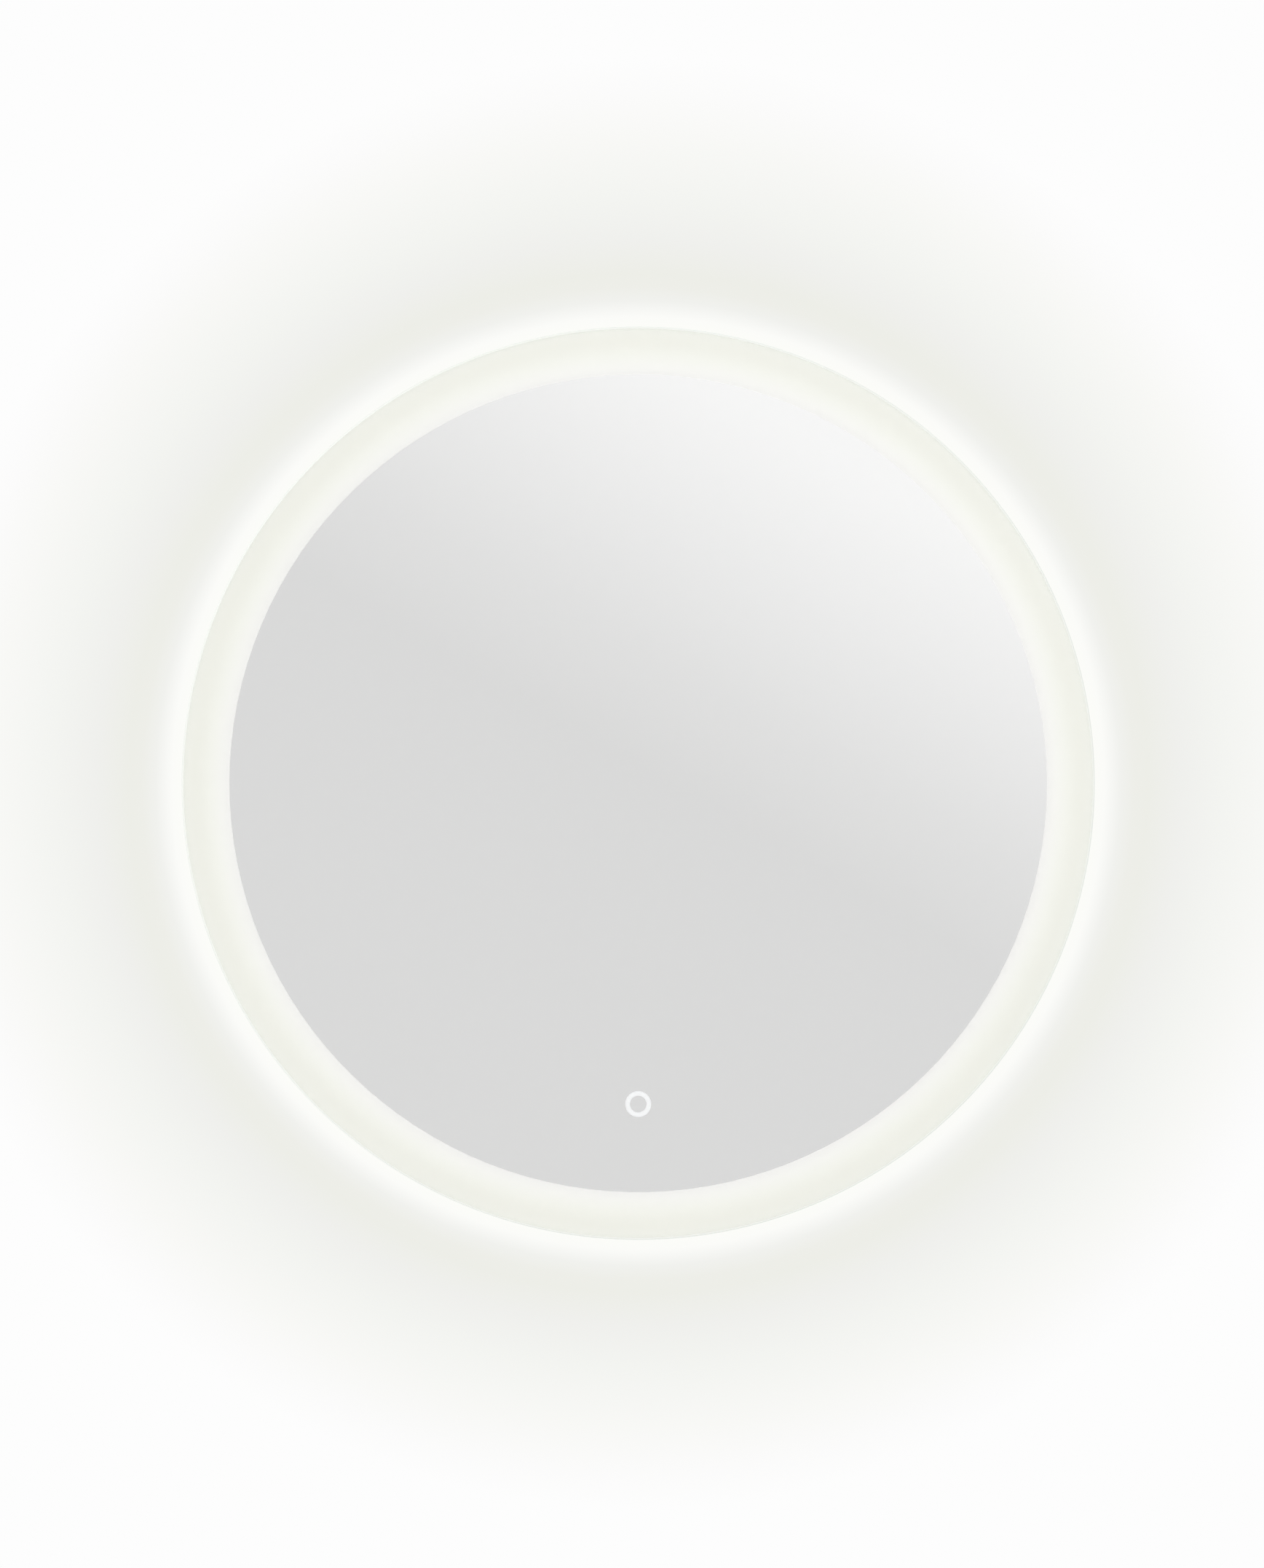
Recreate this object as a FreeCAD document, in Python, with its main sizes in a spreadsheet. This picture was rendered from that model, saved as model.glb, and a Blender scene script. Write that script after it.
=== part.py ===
import FreeCAD, Part
import math
import os
import Sketcher
from FreeCAD import Rotation, Vector

# A round lit bathroom mirror that hangs on a wall rail.
#
# A glass pane carries a silver coating with a frosted band round it. The pane is taped to a
# ring rolled from an aluminium extrusion. An LED strip runs round the ring in an outward
# channel, where it lights the frosted band from behind and the wall round the mirror. A
# pressed steel plate closes the back and carries the driver, the mains terminal box and the
# upper hook of a Z-shaped hanger. The lower half of the hanger, the rail, is screwed to the
# wall, and the mirror lifts up off it.
#
# Millimetres, +Z up. The mirror faces -Y and the wall is the plane y = 0. The origin lies
# midway between the rail's two screws. "Depth" is the distance from the wall into the room,
# so depth d is y = -d. Inside the mirror, x and z are measured from the pane's centre.

SIZES = [
    # the pane and its coatings
    ("glass_diameter", 600),
    ("glass_thickness", 5),
    ("glass_arris", 0.8),
    ("frosted_band", 31),
    ("coating_thickness", 0.2),
    ("touch_ring_outer", 17),
    ("touch_ring_inner", 11),
    ("touch_ring_edge", 89),
    ("heater_side", 260),
    ("heater_thickness", 0.5),
    ("heater_corner", 14),
    ("heater_tab_inset", 22),
    ("heater_tab_drop", 88),
    ("heater_tab_width", 22),
    ("heater_tab_height", 16),
    ("heater_tab_thickness", 4.5),
    # the rolled frame
    ("tape_thickness", 0.8),
    ("tape_margin", 1),
    ("frame_inset", 7),
    ("frame_depth", 28),
    ("frame_wall", 1.5),
    ("front_flange", 16),
    ("rear_flange", 19),
    ("channel_width", 12),
    ("channel_rib", 1.2),
    ("channel_rib_height", 2.8),
    ("joint_slit", 0.4),
    ("splice_angle", 14),
    ("splice_thickness", 1.5),
    ("splice_clearance", 0.3),
    ("splice_rivet_angle", 4),
    ("splice_rivet_inset", 2.6),
    ("rivet_tail", 2.5),
    ("splice_rivet_shank", 2.4),
    ("splice_rivet_head", 4.2),
    ("rivet_shank", 3.2),
    ("rivet_head", 6),
    ("rivet_head_height", 1.1),
    # the light
    ("strip_width", 10),
    ("strip_thickness", 0.3),
    ("strip_gap", 12),
    ("connector_width", 9),
    ("connector_height", 1.3),
    ("led_pitch", 16.67),
    ("led_length", 3.5),
    ("led_width", 2.8),
    ("led_height", 0.8),
    ("cover_gap", 0.6),
    ("cover_height", 2.6),
    ("cover_chamfer", 1.7),
    ("cover_leg", 0.8),
    ("grommet_flange", 4.6),
    ("grommet_neck", 3),
    ("grommet_lip", 1),
    # the back
    ("plate_thickness", 1),
    ("plate_clearance", 0.5),
    ("bead_inset", 31),
    ("bead_width", 8),
    ("bead_height", 2),
    ("plate_screws", 8),
    ("plate_screw_angle", 22.5),
    ("screw_shank", 3.5),
    ("screw_head", 7),
    ("screw_head_height", 2.2),
    ("screw_length", 8),
    ("hole_clearance", 0.2),
    ("vent_inset", 12),
    ("vent_width", 3),
    ("vent_length", 20),
    ("vent_angle", 4),
    ("vents_per_group", 6),
    # hanging on the wall
    ("wall_gap", 9),
    ("hang_drop", 110),
    ("hanger_thickness", 2),
    ("rail_below", 12),
    ("rail_above", 8),
    ("rail_lip", 12),
    ("rail_channel", 4.4),
    ("rail_screw_spacing", 300),
    ("rail_end", 20),
    ("rail_slot_length", 14),
    ("rail_slot_width", 5.5),
    ("cleat_length", 300),
    ("cleat_web", 20),
    ("hook_length", 10),
    ("hook_clearance", 0.8),
    ("hanger_bend", 0.6),
    ("cleat_rivets", 6),
    ("cleat_rivet_inset", 30),
    ("bumper_diameter", 20),
    ("bumper_inset", 14),
    ("bumper_angle", 45),
    ("bumper_draft", 1.5),
    # mains terminal box
    ("box_x", -92),
    ("box_z", 20),
    ("box_length", 92),
    ("box_height", 58),
    ("box_depth", 19),
    ("box_wall", 2),
    ("box_flange", 6),
    ("box_corner", 5),
    ("box_boss", 8),
    ("lid_thickness", 2),
    ("lid_lip", 3),
    ("lid_clearance", 0.3),
    ("lid_screw_shank", 2.9),
    ("lid_screw_head", 5.6),
    ("small_head_height", 1.7),
    ("lid_screw_length", 10),
    ("pilot_floor", 1),
    ("lead_hole_clearance", 0.25),
    ("inlet_x", 27),
    ("inlet_radius", 3.6),
    ("inlet_neck", 6.5),
    ("inlet_flange", 9),
    ("inlet_lip", 1.5),
    ("block_x", -14),
    ("pole_pitch", 10),
    ("pole_count", 3),
    ("block_width", 20),
    ("block_height", 14),
    ("block_wire_depth", 8.4),
    ("block_well_depth", 4.6),
    ("block_screw", 4),
    ("block_screw_sink", 1),
    ("groove_width", 1.2),
    ("groove_depth", 2),
    ("clamp_x", 9),
    ("clamp_length", 30),
    ("clamp_width", 8),
    ("clamp_thickness", 3),
    ("clamp_corner", 3.2),
    ("clamp_saddle", 5),
    ("clamp_opening", 6.5),
    ("clamp_screw_spread", 22),
    ("clamp_screw_shank", 3),
    # driver
    ("driver_x", 78),
    ("driver_z", 20),
    ("driver_length", 150),
    ("driver_width", 40),
    ("driver_height", 20),
    ("driver_lid_height", 6),
    ("driver_corner", 6),
    ("driver_chamfer", 2),
    ("driver_ear", 14),
    ("driver_ear_thickness", 3),
    ("driver_ear_hole", 7),
    ("driver_lead_offset", 13),
    # touch switch
    ("switch_width", 56),
    ("switch_height", 34),
    ("switch_depth", 8),
    ("switch_wall", 1.5),
    ("switch_corner", 4),
    ("board_gap", 1.2),
    ("board_thickness", 1.2),
    ("board_clearance", 0.5),
    ("board_wiring", 4.5),
    ("board_support", 4),
    ("component_width", 4),
    ("component_length", 10),
    ("component_height", 1.4),
    ("light_pipe_diameter", 22),
    # leads and what holds them
    ("power_lead", 5),
    ("output_lead", 4),
    ("strip_lead", 3),
    ("heater_lead", 4),
    ("earth_lead", 2.6),
    ("lead_inset", 38),
    ("lead_stub", 14),
    ("clip_base", 1.5),
    ("clip_wall", 1.2),
    ("clip_clearance", 0.15),
    ("clip_length", 8),
    ("clip_foot", 5),
    ("earth_x", -170),
    ("earth_z", -14),
    ("earth_stud", 4),
    ("earth_head", 8),
    ("earth_stud_length", 9),
    ("earth_nut", 7),
    ("earth_nut_height", 3.2),
    ("earth_tag", 9),
    ("earth_tag_thickness", 0.8),
    ("earth_barrel", 4.4),
    ("earth_barrel_length", 7),
    ("earth_barrel_gap", 0.1),
]

doc = FreeCAD.newDocument("lit_mirror")
dims = doc.addObject("Spreadsheet::Sheet", "dims")
for row, (alias, size) in enumerate(SIZES, start=1):
    dims.set(f"A{row}", alias)
    dims.set(f"B{row}", str(size))
    dims.setAlias(f"B{row}", alias)
doc.recompute()

# Depths from the wall, back to front.
PLATE_REAR = "dims.wall_gap"
PLATE_FRONT = f"({PLATE_REAR} + dims.plate_thickness)"
FRAME_FRONT = f"({PLATE_REAR} + dims.frame_depth)"
TAPE_FRONT = f"({FRAME_FRONT} + dims.tape_thickness)"
GLASS_BACK = f"({TAPE_FRONT} + dims.coating_thickness)"
STRIP_CENTRE = f"(({PLATE_FRONT} + {FRAME_FRONT}) / 2)"
BOX_FLOOR = f"({PLATE_FRONT} + dims.box_depth - dims.box_wall)"
SWITCH_REAR = f"({TAPE_FRONT} - dims.switch_depth)"
BOARD_REAR = f"({SWITCH_REAR} + dims.switch_wall + dims.board_gap)"
BOARD_FRONT = f"({BOARD_REAR} + dims.board_thickness)"

# Radii from the pane's centre, outside in.
GLASS_RADIUS = "(dims.glass_diameter / 2)"
SILVER_RADIUS = f"({GLASS_RADIUS} - dims.frosted_band)"
FRAME_RADIUS = f"({SILVER_RADIUS} - dims.frame_inset)"
FRAME_INSIDE = f"({FRAME_RADIUS} - dims.frame_wall)"
FRONT_FLANGE_EDGE = f"({FRAME_RADIUS} - dims.front_flange)"
REAR_FLANGE_EDGE = f"({FRAME_RADIUS} - dims.rear_flange)"
PLATE_RADIUS = f"({FRAME_INSIDE} - dims.plate_clearance)"
PLATE_SCREW_RADIUS = f"(({REAR_FLANGE_EDGE} + {PLATE_RADIUS}) / 2)"
BEAD_RADIUS = f"({PLATE_RADIUS} - dims.bead_inset)"
BEAD_FOOT = f"({BEAD_RADIUS} - dims.bead_width / 2 - dims.bead_height)"
STRIP_OUTSIDE = f"({FRAME_RADIUS} + dims.strip_thickness)"
LED_OUTSIDE = f"({STRIP_OUTSIDE} + dims.led_height)"

# Heights from the pane's centre.
TOUCH_Z = f"(dims.touch_ring_edge - {GLASS_RADIUS})"

# Heights above the rail's screws.
RAIL_TOP = "(dims.rail_above + dims.rail_lip)"


def number(expression):
    """An expression of the sheet's sizes, worked out as a plain number."""
    return float(dims.evalExpression(expression))


# ---------------------------------------------------------------- sketches and features


def new_body(label, turned=None, on_mirror=True):
    """An empty body. What rides with the mirror is drawn about the pane's centre."""
    body = doc.addObject("PartDesign::Body", label)
    body.Label = label
    if turned is not None:
        body.setExpression("Placement.Rotation.Angle", turned)
        body.Placement.Rotation.Axis = Vector(0, 1, 0)
    if on_mirror:
        body.setExpression("Placement.Base.z", "-dims.hang_drop")
    return body


def origin_part(body, role):
    return next(f for f in body.Origin.OriginFeatures if f.Role == role)


def sketch_on(body, role, name, depth=None):
    """A sketch on one of the body's planes. On XZ_Plane, depth is its distance from the wall."""
    sketch = body.newObject("Sketcher::SketchObject", name)
    sketch.AttachmentSupport = (origin_part(body, role), "")
    sketch.MapMode = "FlatFace"
    if depth is not None:
        sketch.setExpression("AttachmentOffset.Base.z", depth)
    return sketch


def bind(sketch, kind, name, expression, *where):
    index = sketch.addConstraint(Sketcher.Constraint(kind, *where, number(expression)))
    sketch.renameConstraint(index, name)
    sketch.setExpression(f"Constraints.{name}", expression)


def pin_point(sketch, geometry, point, x, y):
    """Ties a point of the sketch to two expressions, measured from the sketch's origin."""
    name = f"point{geometry}_{point}"
    bind(sketch, "DistanceX", f"{name}_x", x, -1, 1, geometry, point)
    bind(sketch, "DistanceY", f"{name}_y", y, -1, 1, geometry, point)


def circle(sketch, x, y, radius):
    centre = Vector(number(x), number(y), 0)
    index = sketch.addGeometry(Part.Circle(centre, Vector(0, 0, 1), number(radius)), False)
    pin_point(sketch, index, 3, x, y)
    bind(sketch, "Radius", f"radius{index}", radius, index)


def polygon(sketch, corners):
    """A closed outline of straight lines whose corners are pairs of expressions."""
    spots = [Vector(number(x), number(y), 0) for x, y in corners]
    lines = []
    for here, there in zip(spots, spots[1:] + spots[:1]):
        lines.append(sketch.addGeometry(Part.LineSegment(here, there), False))
    for line, following in zip(lines, lines[1:] + lines[:1]):
        sketch.addConstraint(Sketcher.Constraint("Coincident", line, 2, following, 1))
    for line, (x, y) in zip(lines, corners):
        pin_point(sketch, line, 1, x, y)


def rectangle(sketch, x, y, width, height):
    left, right = f"{x} - ({width}) / 2", f"{x} + ({width}) / 2"
    low, high = f"{y} - ({height}) / 2", f"{y} + ({height}) / 2"
    polygon(sketch, [(left, low), (right, low), (right, high), (left, high)])


def slot(sketch, x, y, length, width):
    """A round-ended slot that runs along the sketch's x."""
    reach = f"(({length}) - ({width})) / 2"
    centres = [(f"{x} - {reach}", y), (f"{x} + {reach}", y)]
    radius = number(width) / 2
    up = Vector(0, 0, 1)
    ends = [Vector(number(cx), number(cy), 0) for cx, cy in centres]
    quarter = math.pi / 2
    left = Part.ArcOfCircle(Part.Circle(ends[0], up, radius), quarter, 3 * quarter)
    right = Part.ArcOfCircle(Part.Circle(ends[1], up, radius), -quarter, quarter)
    rise = Vector(0, radius, 0)
    low = Part.LineSegment(ends[0] - rise, ends[1] - rise)
    high = Part.LineSegment(ends[1] + rise, ends[0] + rise)
    a, b, c, d = [sketch.addGeometry(g, False) for g in (left, low, right, high)]
    for first, second in ((a, b), (b, c), (c, d), (d, a)):
        sketch.addConstraint(Sketcher.Constraint("Tangent", first, 2, second, 1))
    sketch.addConstraint(Sketcher.Constraint("Equal", a, c))
    pin_point(sketch, a, 3, *centres[0])
    pin_point(sketch, c, 3, *centres[1])
    bind(sketch, "Radius", f"radius{a}", f"({width}) / 2", a)


def finished(body, feature):
    body.Tip = feature
    doc.recompute()
    return feature


def pad(body, name, sketch, length, midplane=False):
    feature = body.newObject("PartDesign::Pad", name)
    feature.Profile = sketch
    feature.Midplane = midplane
    feature.setExpression("Length", length)
    return finished(body, feature)


def pocket(body, name, sketch, length=None, into_room=False):
    """Cuts the sketch right through, or by length towards the wall or into the room."""
    before = body.Shape.Volume
    feature = body.newObject("PartDesign::Pocket", name)
    feature.Profile = sketch
    if length is None:
        feature.Type = 1
        feature.Midplane = True
    else:
        feature.Reversed = into_room
        feature.setExpression("Length", length)
    finished(body, feature)
    if body.Shape.Volume >= before:
        raise RuntimeError(f"{body.Label}: {name} cuts nothing")
    return feature


def revolve(body, name, sketch, angle="360"):
    feature = body.newObject("PartDesign::Revolution", name)
    feature.Profile = sketch
    feature.ReferenceAxis = (origin_part(body, "Y_Axis"), [""])
    feature.Midplane = True
    feature.setExpression("Angle", angle)
    return finished(body, feature)


def polar_pattern(body, name, originals, count, angle="360"):
    feature = body.newObject("PartDesign::PolarPattern", name)
    feature.Originals = originals
    feature.Axis = (origin_part(body, "Y_Axis"), [""])
    feature.setExpression("Angle", angle)
    feature.setExpression("Occurrences", count)
    return finished(body, feature)


def linear_pattern(body, name, originals, along, length, count):
    feature = body.newObject("PartDesign::LinearPattern", name)
    feature.Originals = originals
    feature.Direction = (origin_part(body, along), [""])
    feature.setExpression("Length", length)
    feature.setExpression("Occurrences", count)
    return finished(body, feature)


def mirrored(body, name, originals, plane):
    feature = body.newObject("PartDesign::Mirrored", name)
    feature.Originals = originals
    feature.MirrorPlane = (origin_part(body, plane), [""])
    return finished(body, feature)


def dress(body, kind, name, feature, size, wanted):
    """A Fillet or Chamfer of the feature's edges for which wanted(edge) is true."""
    property_name = {"Fillet": "Radius", "Chamfer": "Size"}[kind]
    edges = [f"Edge{i}" for i, e in enumerate(feature.Shape.Edges, 1) if wanted(e)]
    dressed = body.newObject(f"PartDesign::{kind}", name)
    dressed.Base = (feature, edges)
    dressed.setExpression(property_name, size)
    return finished(body, dressed)


def runs_along_y(edge):
    spans = edge.BoundBox
    return spans.XLength < 1e-4 and spans.ZLength < 1e-4


def lies_at_depth(depth):
    """A test for edges that lie flat at that distance from the wall."""
    y = -number(depth)
    return lambda edge: abs(edge.BoundBox.YMin - y) < 1e-4 and abs(edge.BoundBox.YMax - y) < 1e-4


# ---------------------------------------------------------------- loose solids


def loose_part(label, solids):
    """One or more solids drawn about the pane's centre, as one sub-part."""
    part = doc.addObject("Part::Feature", label)
    part.Label = label
    part.Shape = solids[0] if len(solids) == 1 else Part.makeCompound(solids)
    part.Placement.Base += Vector(0, 0, -number("dims.hang_drop"))
    return part


def at(x, z, depth):
    return Vector(x, -depth, z)


HEAD_CROWN = 0.7  # the flat top of a small head, as a share of its radius
ARC_SHARE = 0.45  # how much of the shorter run beside it an arc of a lead takes


def upright_cylinder(x, z, near, far, radius):
    """A cylinder square to the wall, from depth near to depth far."""
    return Part.makeCylinder(radius, far - near, at(x, z, near), Vector(0, -1, 0))


def headed_pin(x, z, shoulder, head_radius, head_height, shank_radius, shank_length):
    """A screw or rivet with a low head, whose shank goes into the room from depth shoulder."""
    face = shoulder - head_height
    outline = [
        Vector(0, -face, 0),
        Vector(HEAD_CROWN * head_radius, -face, 0),
        Vector(head_radius, -shoulder, 0),
        Vector(shank_radius, -shoulder, 0),
        Vector(shank_radius, -shoulder - shank_length, 0),
        Vector(0, -shoulder - shank_length, 0),
    ]
    face_shape = Part.Face(Part.makePolygon(outline + outline[:1]))
    solid = face_shape.revolve(Vector(0, 0, 0), Vector(0, 1, 0), 360)
    solid.translate(Vector(x, 0, z))
    return solid


def lead(route, diameter):
    """A round lead along straight runs joined by arcs as large as the runs allow."""
    edges = []
    start = route[0]
    for before, corner, after in zip(route, route[1:], route[2:]):
        back, ahead = before - corner, after - corner
        turn = math.pi - back.getAngle(ahead)
        trim = ARC_SHARE * min(back.Length, ahead.Length)
        radius = trim / math.tan(turn / 2)
        back.normalize()
        ahead.normalize()
        inward = (back + ahead).normalize()
        first, last = corner + back * trim, corner + ahead * trim
        middle = corner + inward * (radius / math.cos(turn / 2) - radius)
        edges.append(Part.LineSegment(start, first).toShape())
        edges.append(Part.Arc(first, middle, last).toShape())
        start = last
    edges.append(Part.LineSegment(start, route[-1]).toShape())
    path = Part.Wire(edges)
    section = Part.Wire(Part.makeCircle(diameter / 2, route[0], route[1] - route[0]))
    tube = path.makePipeShell([section], True, False)
    expected = path.Length * math.pi * diameter**2 / 4
    if abs(tube.Volume / expected - 1) > 0.01:
        raise RuntimeError("a lead's volume isn't its section times its length")
    return tube


# ---------------------------------------------------------------- the pane


def make_mirror_glass():
    body = new_body("mirror_glass")
    outline = sketch_on(body, "XZ_Plane", "pane_outline", GLASS_BACK)
    circle(outline, "0", "0", GLASS_RADIUS)
    pane = pad(body, "pane", outline, "dims.glass_thickness")
    dress(body, "Chamfer", "arris", pane, "dims.glass_arris", lambda edge: edge.isClosed())


def make_silver_backing():
    """The reflective coating and its paint, with the touch ring left clear in it."""
    body = new_body("silver_backing")
    outline = sketch_on(body, "XZ_Plane", "silver_outline", TAPE_FRONT)
    circle(outline, "0", "0", SILVER_RADIUS)
    pad(body, "silver", outline, "dims.coating_thickness")
    ring = sketch_on(body, "XZ_Plane", "touch_ring", TAPE_FRONT)
    circle(ring, "0", TOUCH_Z, "dims.touch_ring_outer / 2")
    circle(ring, "0", TOUCH_Z, "dims.touch_ring_inner / 2")
    pocket(body, "touch_ring_window", ring)


def make_frosted_band():
    """The sandblasted skin of the pane, from the silver's edge to the pane's arris."""
    body = new_body("frosted_band")
    outline = sketch_on(body, "XZ_Plane", "band_outline", TAPE_FRONT)
    circle(outline, "0", "0", f"{GLASS_RADIUS} - dims.glass_arris")
    circle(outline, "0", "0", SILVER_RADIUS)
    pad(body, "frosted_skin", outline, "dims.coating_thickness")


HEATER_REAR = f"({TAPE_FRONT} - dims.heater_thickness)"
HEATER_TAB_REAR = f"({HEATER_REAR} - dims.heater_tab_thickness)"
HEATER_TAB_X = "(dims.heater_tab_inset - dims.heater_side / 2)"
HEATER_TAB_Z = "(dims.box_z - dims.heater_tab_drop)"


def make_demister_pad():
    """Heating film stuck to the silver's paint, with the tab that its lead enters."""
    body = new_body("demister_pad")
    outline = sketch_on(body, "XZ_Plane", "film_outline", HEATER_REAR)
    rectangle(outline, "0", "dims.box_z", "dims.heater_side", "dims.heater_side")
    film = pad(body, "film", outline, "dims.heater_thickness")
    dress(body, "Fillet", "film_corners", film, "dims.heater_corner", runs_along_y)
    tab = sketch_on(body, "XZ_Plane", "tab_outline", HEATER_TAB_REAR)
    rectangle(tab, HEATER_TAB_X, HEATER_TAB_Z, "dims.heater_tab_width", "dims.heater_tab_height")
    pad(body, "tab", tab, "dims.heater_tab_thickness")


def make_mounting_tape():
    body = new_body("mounting_tape")
    outline = sketch_on(body, "XZ_Plane", "tape_outline", FRAME_FRONT)
    circle(outline, "0", "0", f"{FRAME_RADIUS} - dims.tape_margin")
    circle(outline, "0", "0", f"{FRONT_FLANGE_EDGE} + dims.tape_margin")
    pad(body, "tape", outline, "dims.tape_thickness")


# ---------------------------------------------------------------- the frame and its light


def across(angle):
    """The sketch point on the frame's screw circle at that angle, as two expressions."""
    return f"{PLATE_SCREW_RADIUS} * cos({angle})", f"{PLATE_SCREW_RADIUS} * sin({angle})"


SPLICE_REAR = f"({PLATE_FRONT} + dims.frame_wall + dims.splice_clearance)"
SPLICE_FRONT = f"({FRAME_FRONT} - dims.frame_wall - dims.splice_clearance)"
SPLICE_HOLE = "(dims.splice_rivet_shank + dims.hole_clearance) / 2"
RIVET_DEPTHS = [
    f"({PLATE_FRONT} + dims.frame_wall + dims.splice_rivet_inset)",
    f"({FRAME_FRONT} - dims.frame_wall - dims.splice_rivet_inset)",
]


def make_frame_ring():
    """The extrusion's section turned round the pane's axis, with its joint at the top."""
    body = new_body("frame_ring")
    rib_rear = f"-({STRIP_CENTRE} - dims.channel_width / 2)"
    rib_front = f"-({STRIP_CENTRE} + dims.channel_width / 2)"
    rib_edge = f"({FRAME_RADIUS} + dims.channel_rib_height)"
    section = sketch_on(body, "XY_Plane", "extrusion_section")
    polygon(section, [
        (FRAME_INSIDE, f"-{PLATE_REAR}"),
        (FRAME_RADIUS, f"-{PLATE_REAR}"),
        (FRAME_RADIUS, f"{rib_rear} + dims.channel_rib"),
        (rib_edge, f"{rib_rear} + dims.channel_rib"),
        (rib_edge, rib_rear),
        (FRAME_RADIUS, rib_rear),
        (FRAME_RADIUS, rib_front),
        (rib_edge, rib_front),
        (rib_edge, f"{rib_front} - dims.channel_rib"),
        (FRAME_RADIUS, f"{rib_front} - dims.channel_rib"),
        (FRAME_RADIUS, f"-{FRAME_FRONT}"),
        (FRONT_FLANGE_EDGE, f"-{FRAME_FRONT}"),
        (FRONT_FLANGE_EDGE, f"-{FRAME_FRONT} + dims.frame_wall"),
        (FRAME_INSIDE, f"-{FRAME_FRONT} + dims.frame_wall"),
        (FRAME_INSIDE, f"-{PLATE_FRONT} - dims.frame_wall"),
        (REAR_FLANGE_EDGE, f"-{PLATE_FRONT} - dims.frame_wall"),
        (REAR_FLANGE_EDGE, f"-{PLATE_FRONT}"),
        (FRAME_INSIDE, f"-{PLATE_FRONT}"),
    ])
    revolve(body, "rolled_extrusion", section)

    joint = sketch_on(body, "XZ_Plane", "joint_slit_outline")
    polygon(joint, [
        ("-dims.joint_slit / 2", f"{REAR_FLANGE_EDGE} - dims.frame_wall"),
        ("dims.joint_slit / 2", f"{REAR_FLANGE_EDGE} - dims.frame_wall"),
        ("dims.joint_slit / 2", GLASS_RADIUS),
        ("-dims.joint_slit / 2", GLASS_RADIUS),
    ])
    pocket(body, "joint_slit", joint)

    pilot = sketch_on(body, "XZ_Plane", "pilot_hole_outline", SPLICE_REAR)
    pilot_radius = "(dims.screw_shank + dims.hole_clearance) / 2"
    circle(pilot, *across("dims.plate_screw_angle"), pilot_radius)
    first = pocket(body, "pilot_hole", pilot, "dims.frame_wall + dims.splice_clearance * 2")
    polar_pattern(body, "pilot_holes", [first], "dims.plate_screws")

    feed = sketch_on(body, "XY_Plane", "feed_hole_outline", f"-{REAR_FLANGE_EDGE}")
    circle(feed, "0", f"-{STRIP_CENTRE}", "dims.grommet_neck")
    pocket(body, "feed_hole", feed, GLASS_RADIUS)

    rivets = sketch_on(body, "XY_Plane", "splice_rivet_outline", FRONT_FLANGE_EDGE)
    sideways = f"{FRAME_RADIUS} * sin(dims.splice_rivet_angle)"
    for depth in RIVET_DEPTHS:
        for x in (f"-{sideways}", sideways):
            circle(rivets, x, f"-{depth}", SPLICE_HOLE)
    pocket(body, "splice_rivet_holes", rivets, GLASS_RADIUS, into_room=True)


def make_frame_splice():
    """The plate inside the wall that joins the extrusion's two ends."""
    body = new_body("frame_splice", turned="-90")
    section = sketch_on(body, "XY_Plane", "splice_section")
    polygon(section, [
        (f"{FRAME_INSIDE} - dims.splice_thickness", f"-{SPLICE_REAR}"),
        (FRAME_INSIDE, f"-{SPLICE_REAR}"),
        (FRAME_INSIDE, f"-{SPLICE_FRONT}"),
        (f"{FRAME_INSIDE} - dims.splice_thickness", f"-{SPLICE_FRONT}"),
    ])
    revolve(body, "splice_arc", section, "dims.splice_angle")
    holes = sketch_on(body, "YZ_Plane", "rivet_hole_outline")
    sideways = f"{FRAME_RADIUS} * sin(dims.splice_rivet_angle)"
    for depth in RIVET_DEPTHS:
        for z in (f"-{sideways}", sideways):
            circle(holes, f"-{depth}", z, SPLICE_HOLE)
    pocket(body, "rivet_holes", holes)


def make_splice_rivets():
    """Four blind rivets through the frame's wall and the splice, square to the slit."""
    radius = number(FRAME_RADIUS)
    head = number("dims.splice_rivet_head") / 2
    sideways = radius * math.sin(math.radians(number("dims.splice_rivet_angle")))
    # The wall curves away under a flat head, so the head seats where the wall is highest.
    seat = math.sqrt(radius**2 - (sideways - head) ** 2)
    shank = number("dims.frame_wall + dims.splice_thickness + dims.rivet_tail")
    solids = []
    for depth in RIVET_DEPTHS:
        for x in (-sideways, sideways):
            pin = headed_pin(0, 0, 0, head, number("dims.rivet_head_height"),
                             number("dims.splice_rivet_shank") / 2, shank)
            pin.rotate(Vector(0, 0, 0), Vector(1, 0, 0), 90)
            pin.translate(Vector(x, -number(depth), seat))
            solids.append(pin)
    loose_part("splice_rivets", solids)


STRIP_GAP = f"(dims.strip_gap / {FRAME_RADIUS} * 180 / pi)"
LED_STEP = f"(dims.led_pitch / {STRIP_OUTSIDE} * 180 / pi)"
LED_COUNT = f"floor((360 - {STRIP_GAP} - {LED_STEP}) / {LED_STEP}) + 1"


def make_led_strip():
    """Flexible circuit laid in the channel, open at the bottom where the lead comes out."""
    body = new_body("led_strip", turned="-90")
    section = sketch_on(body, "XY_Plane", "strip_section")
    polygon(section, [
        (FRAME_RADIUS, f"-{STRIP_CENTRE} - dims.strip_width / 2"),
        (STRIP_OUTSIDE, f"-{STRIP_CENTRE} - dims.strip_width / 2"),
        (STRIP_OUTSIDE, f"-{STRIP_CENTRE} + dims.strip_width / 2"),
        (FRAME_RADIUS, f"-{STRIP_CENTRE} + dims.strip_width / 2"),
    ])
    revolve(body, "circuit", section, f"360 - {STRIP_GAP}")


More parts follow.
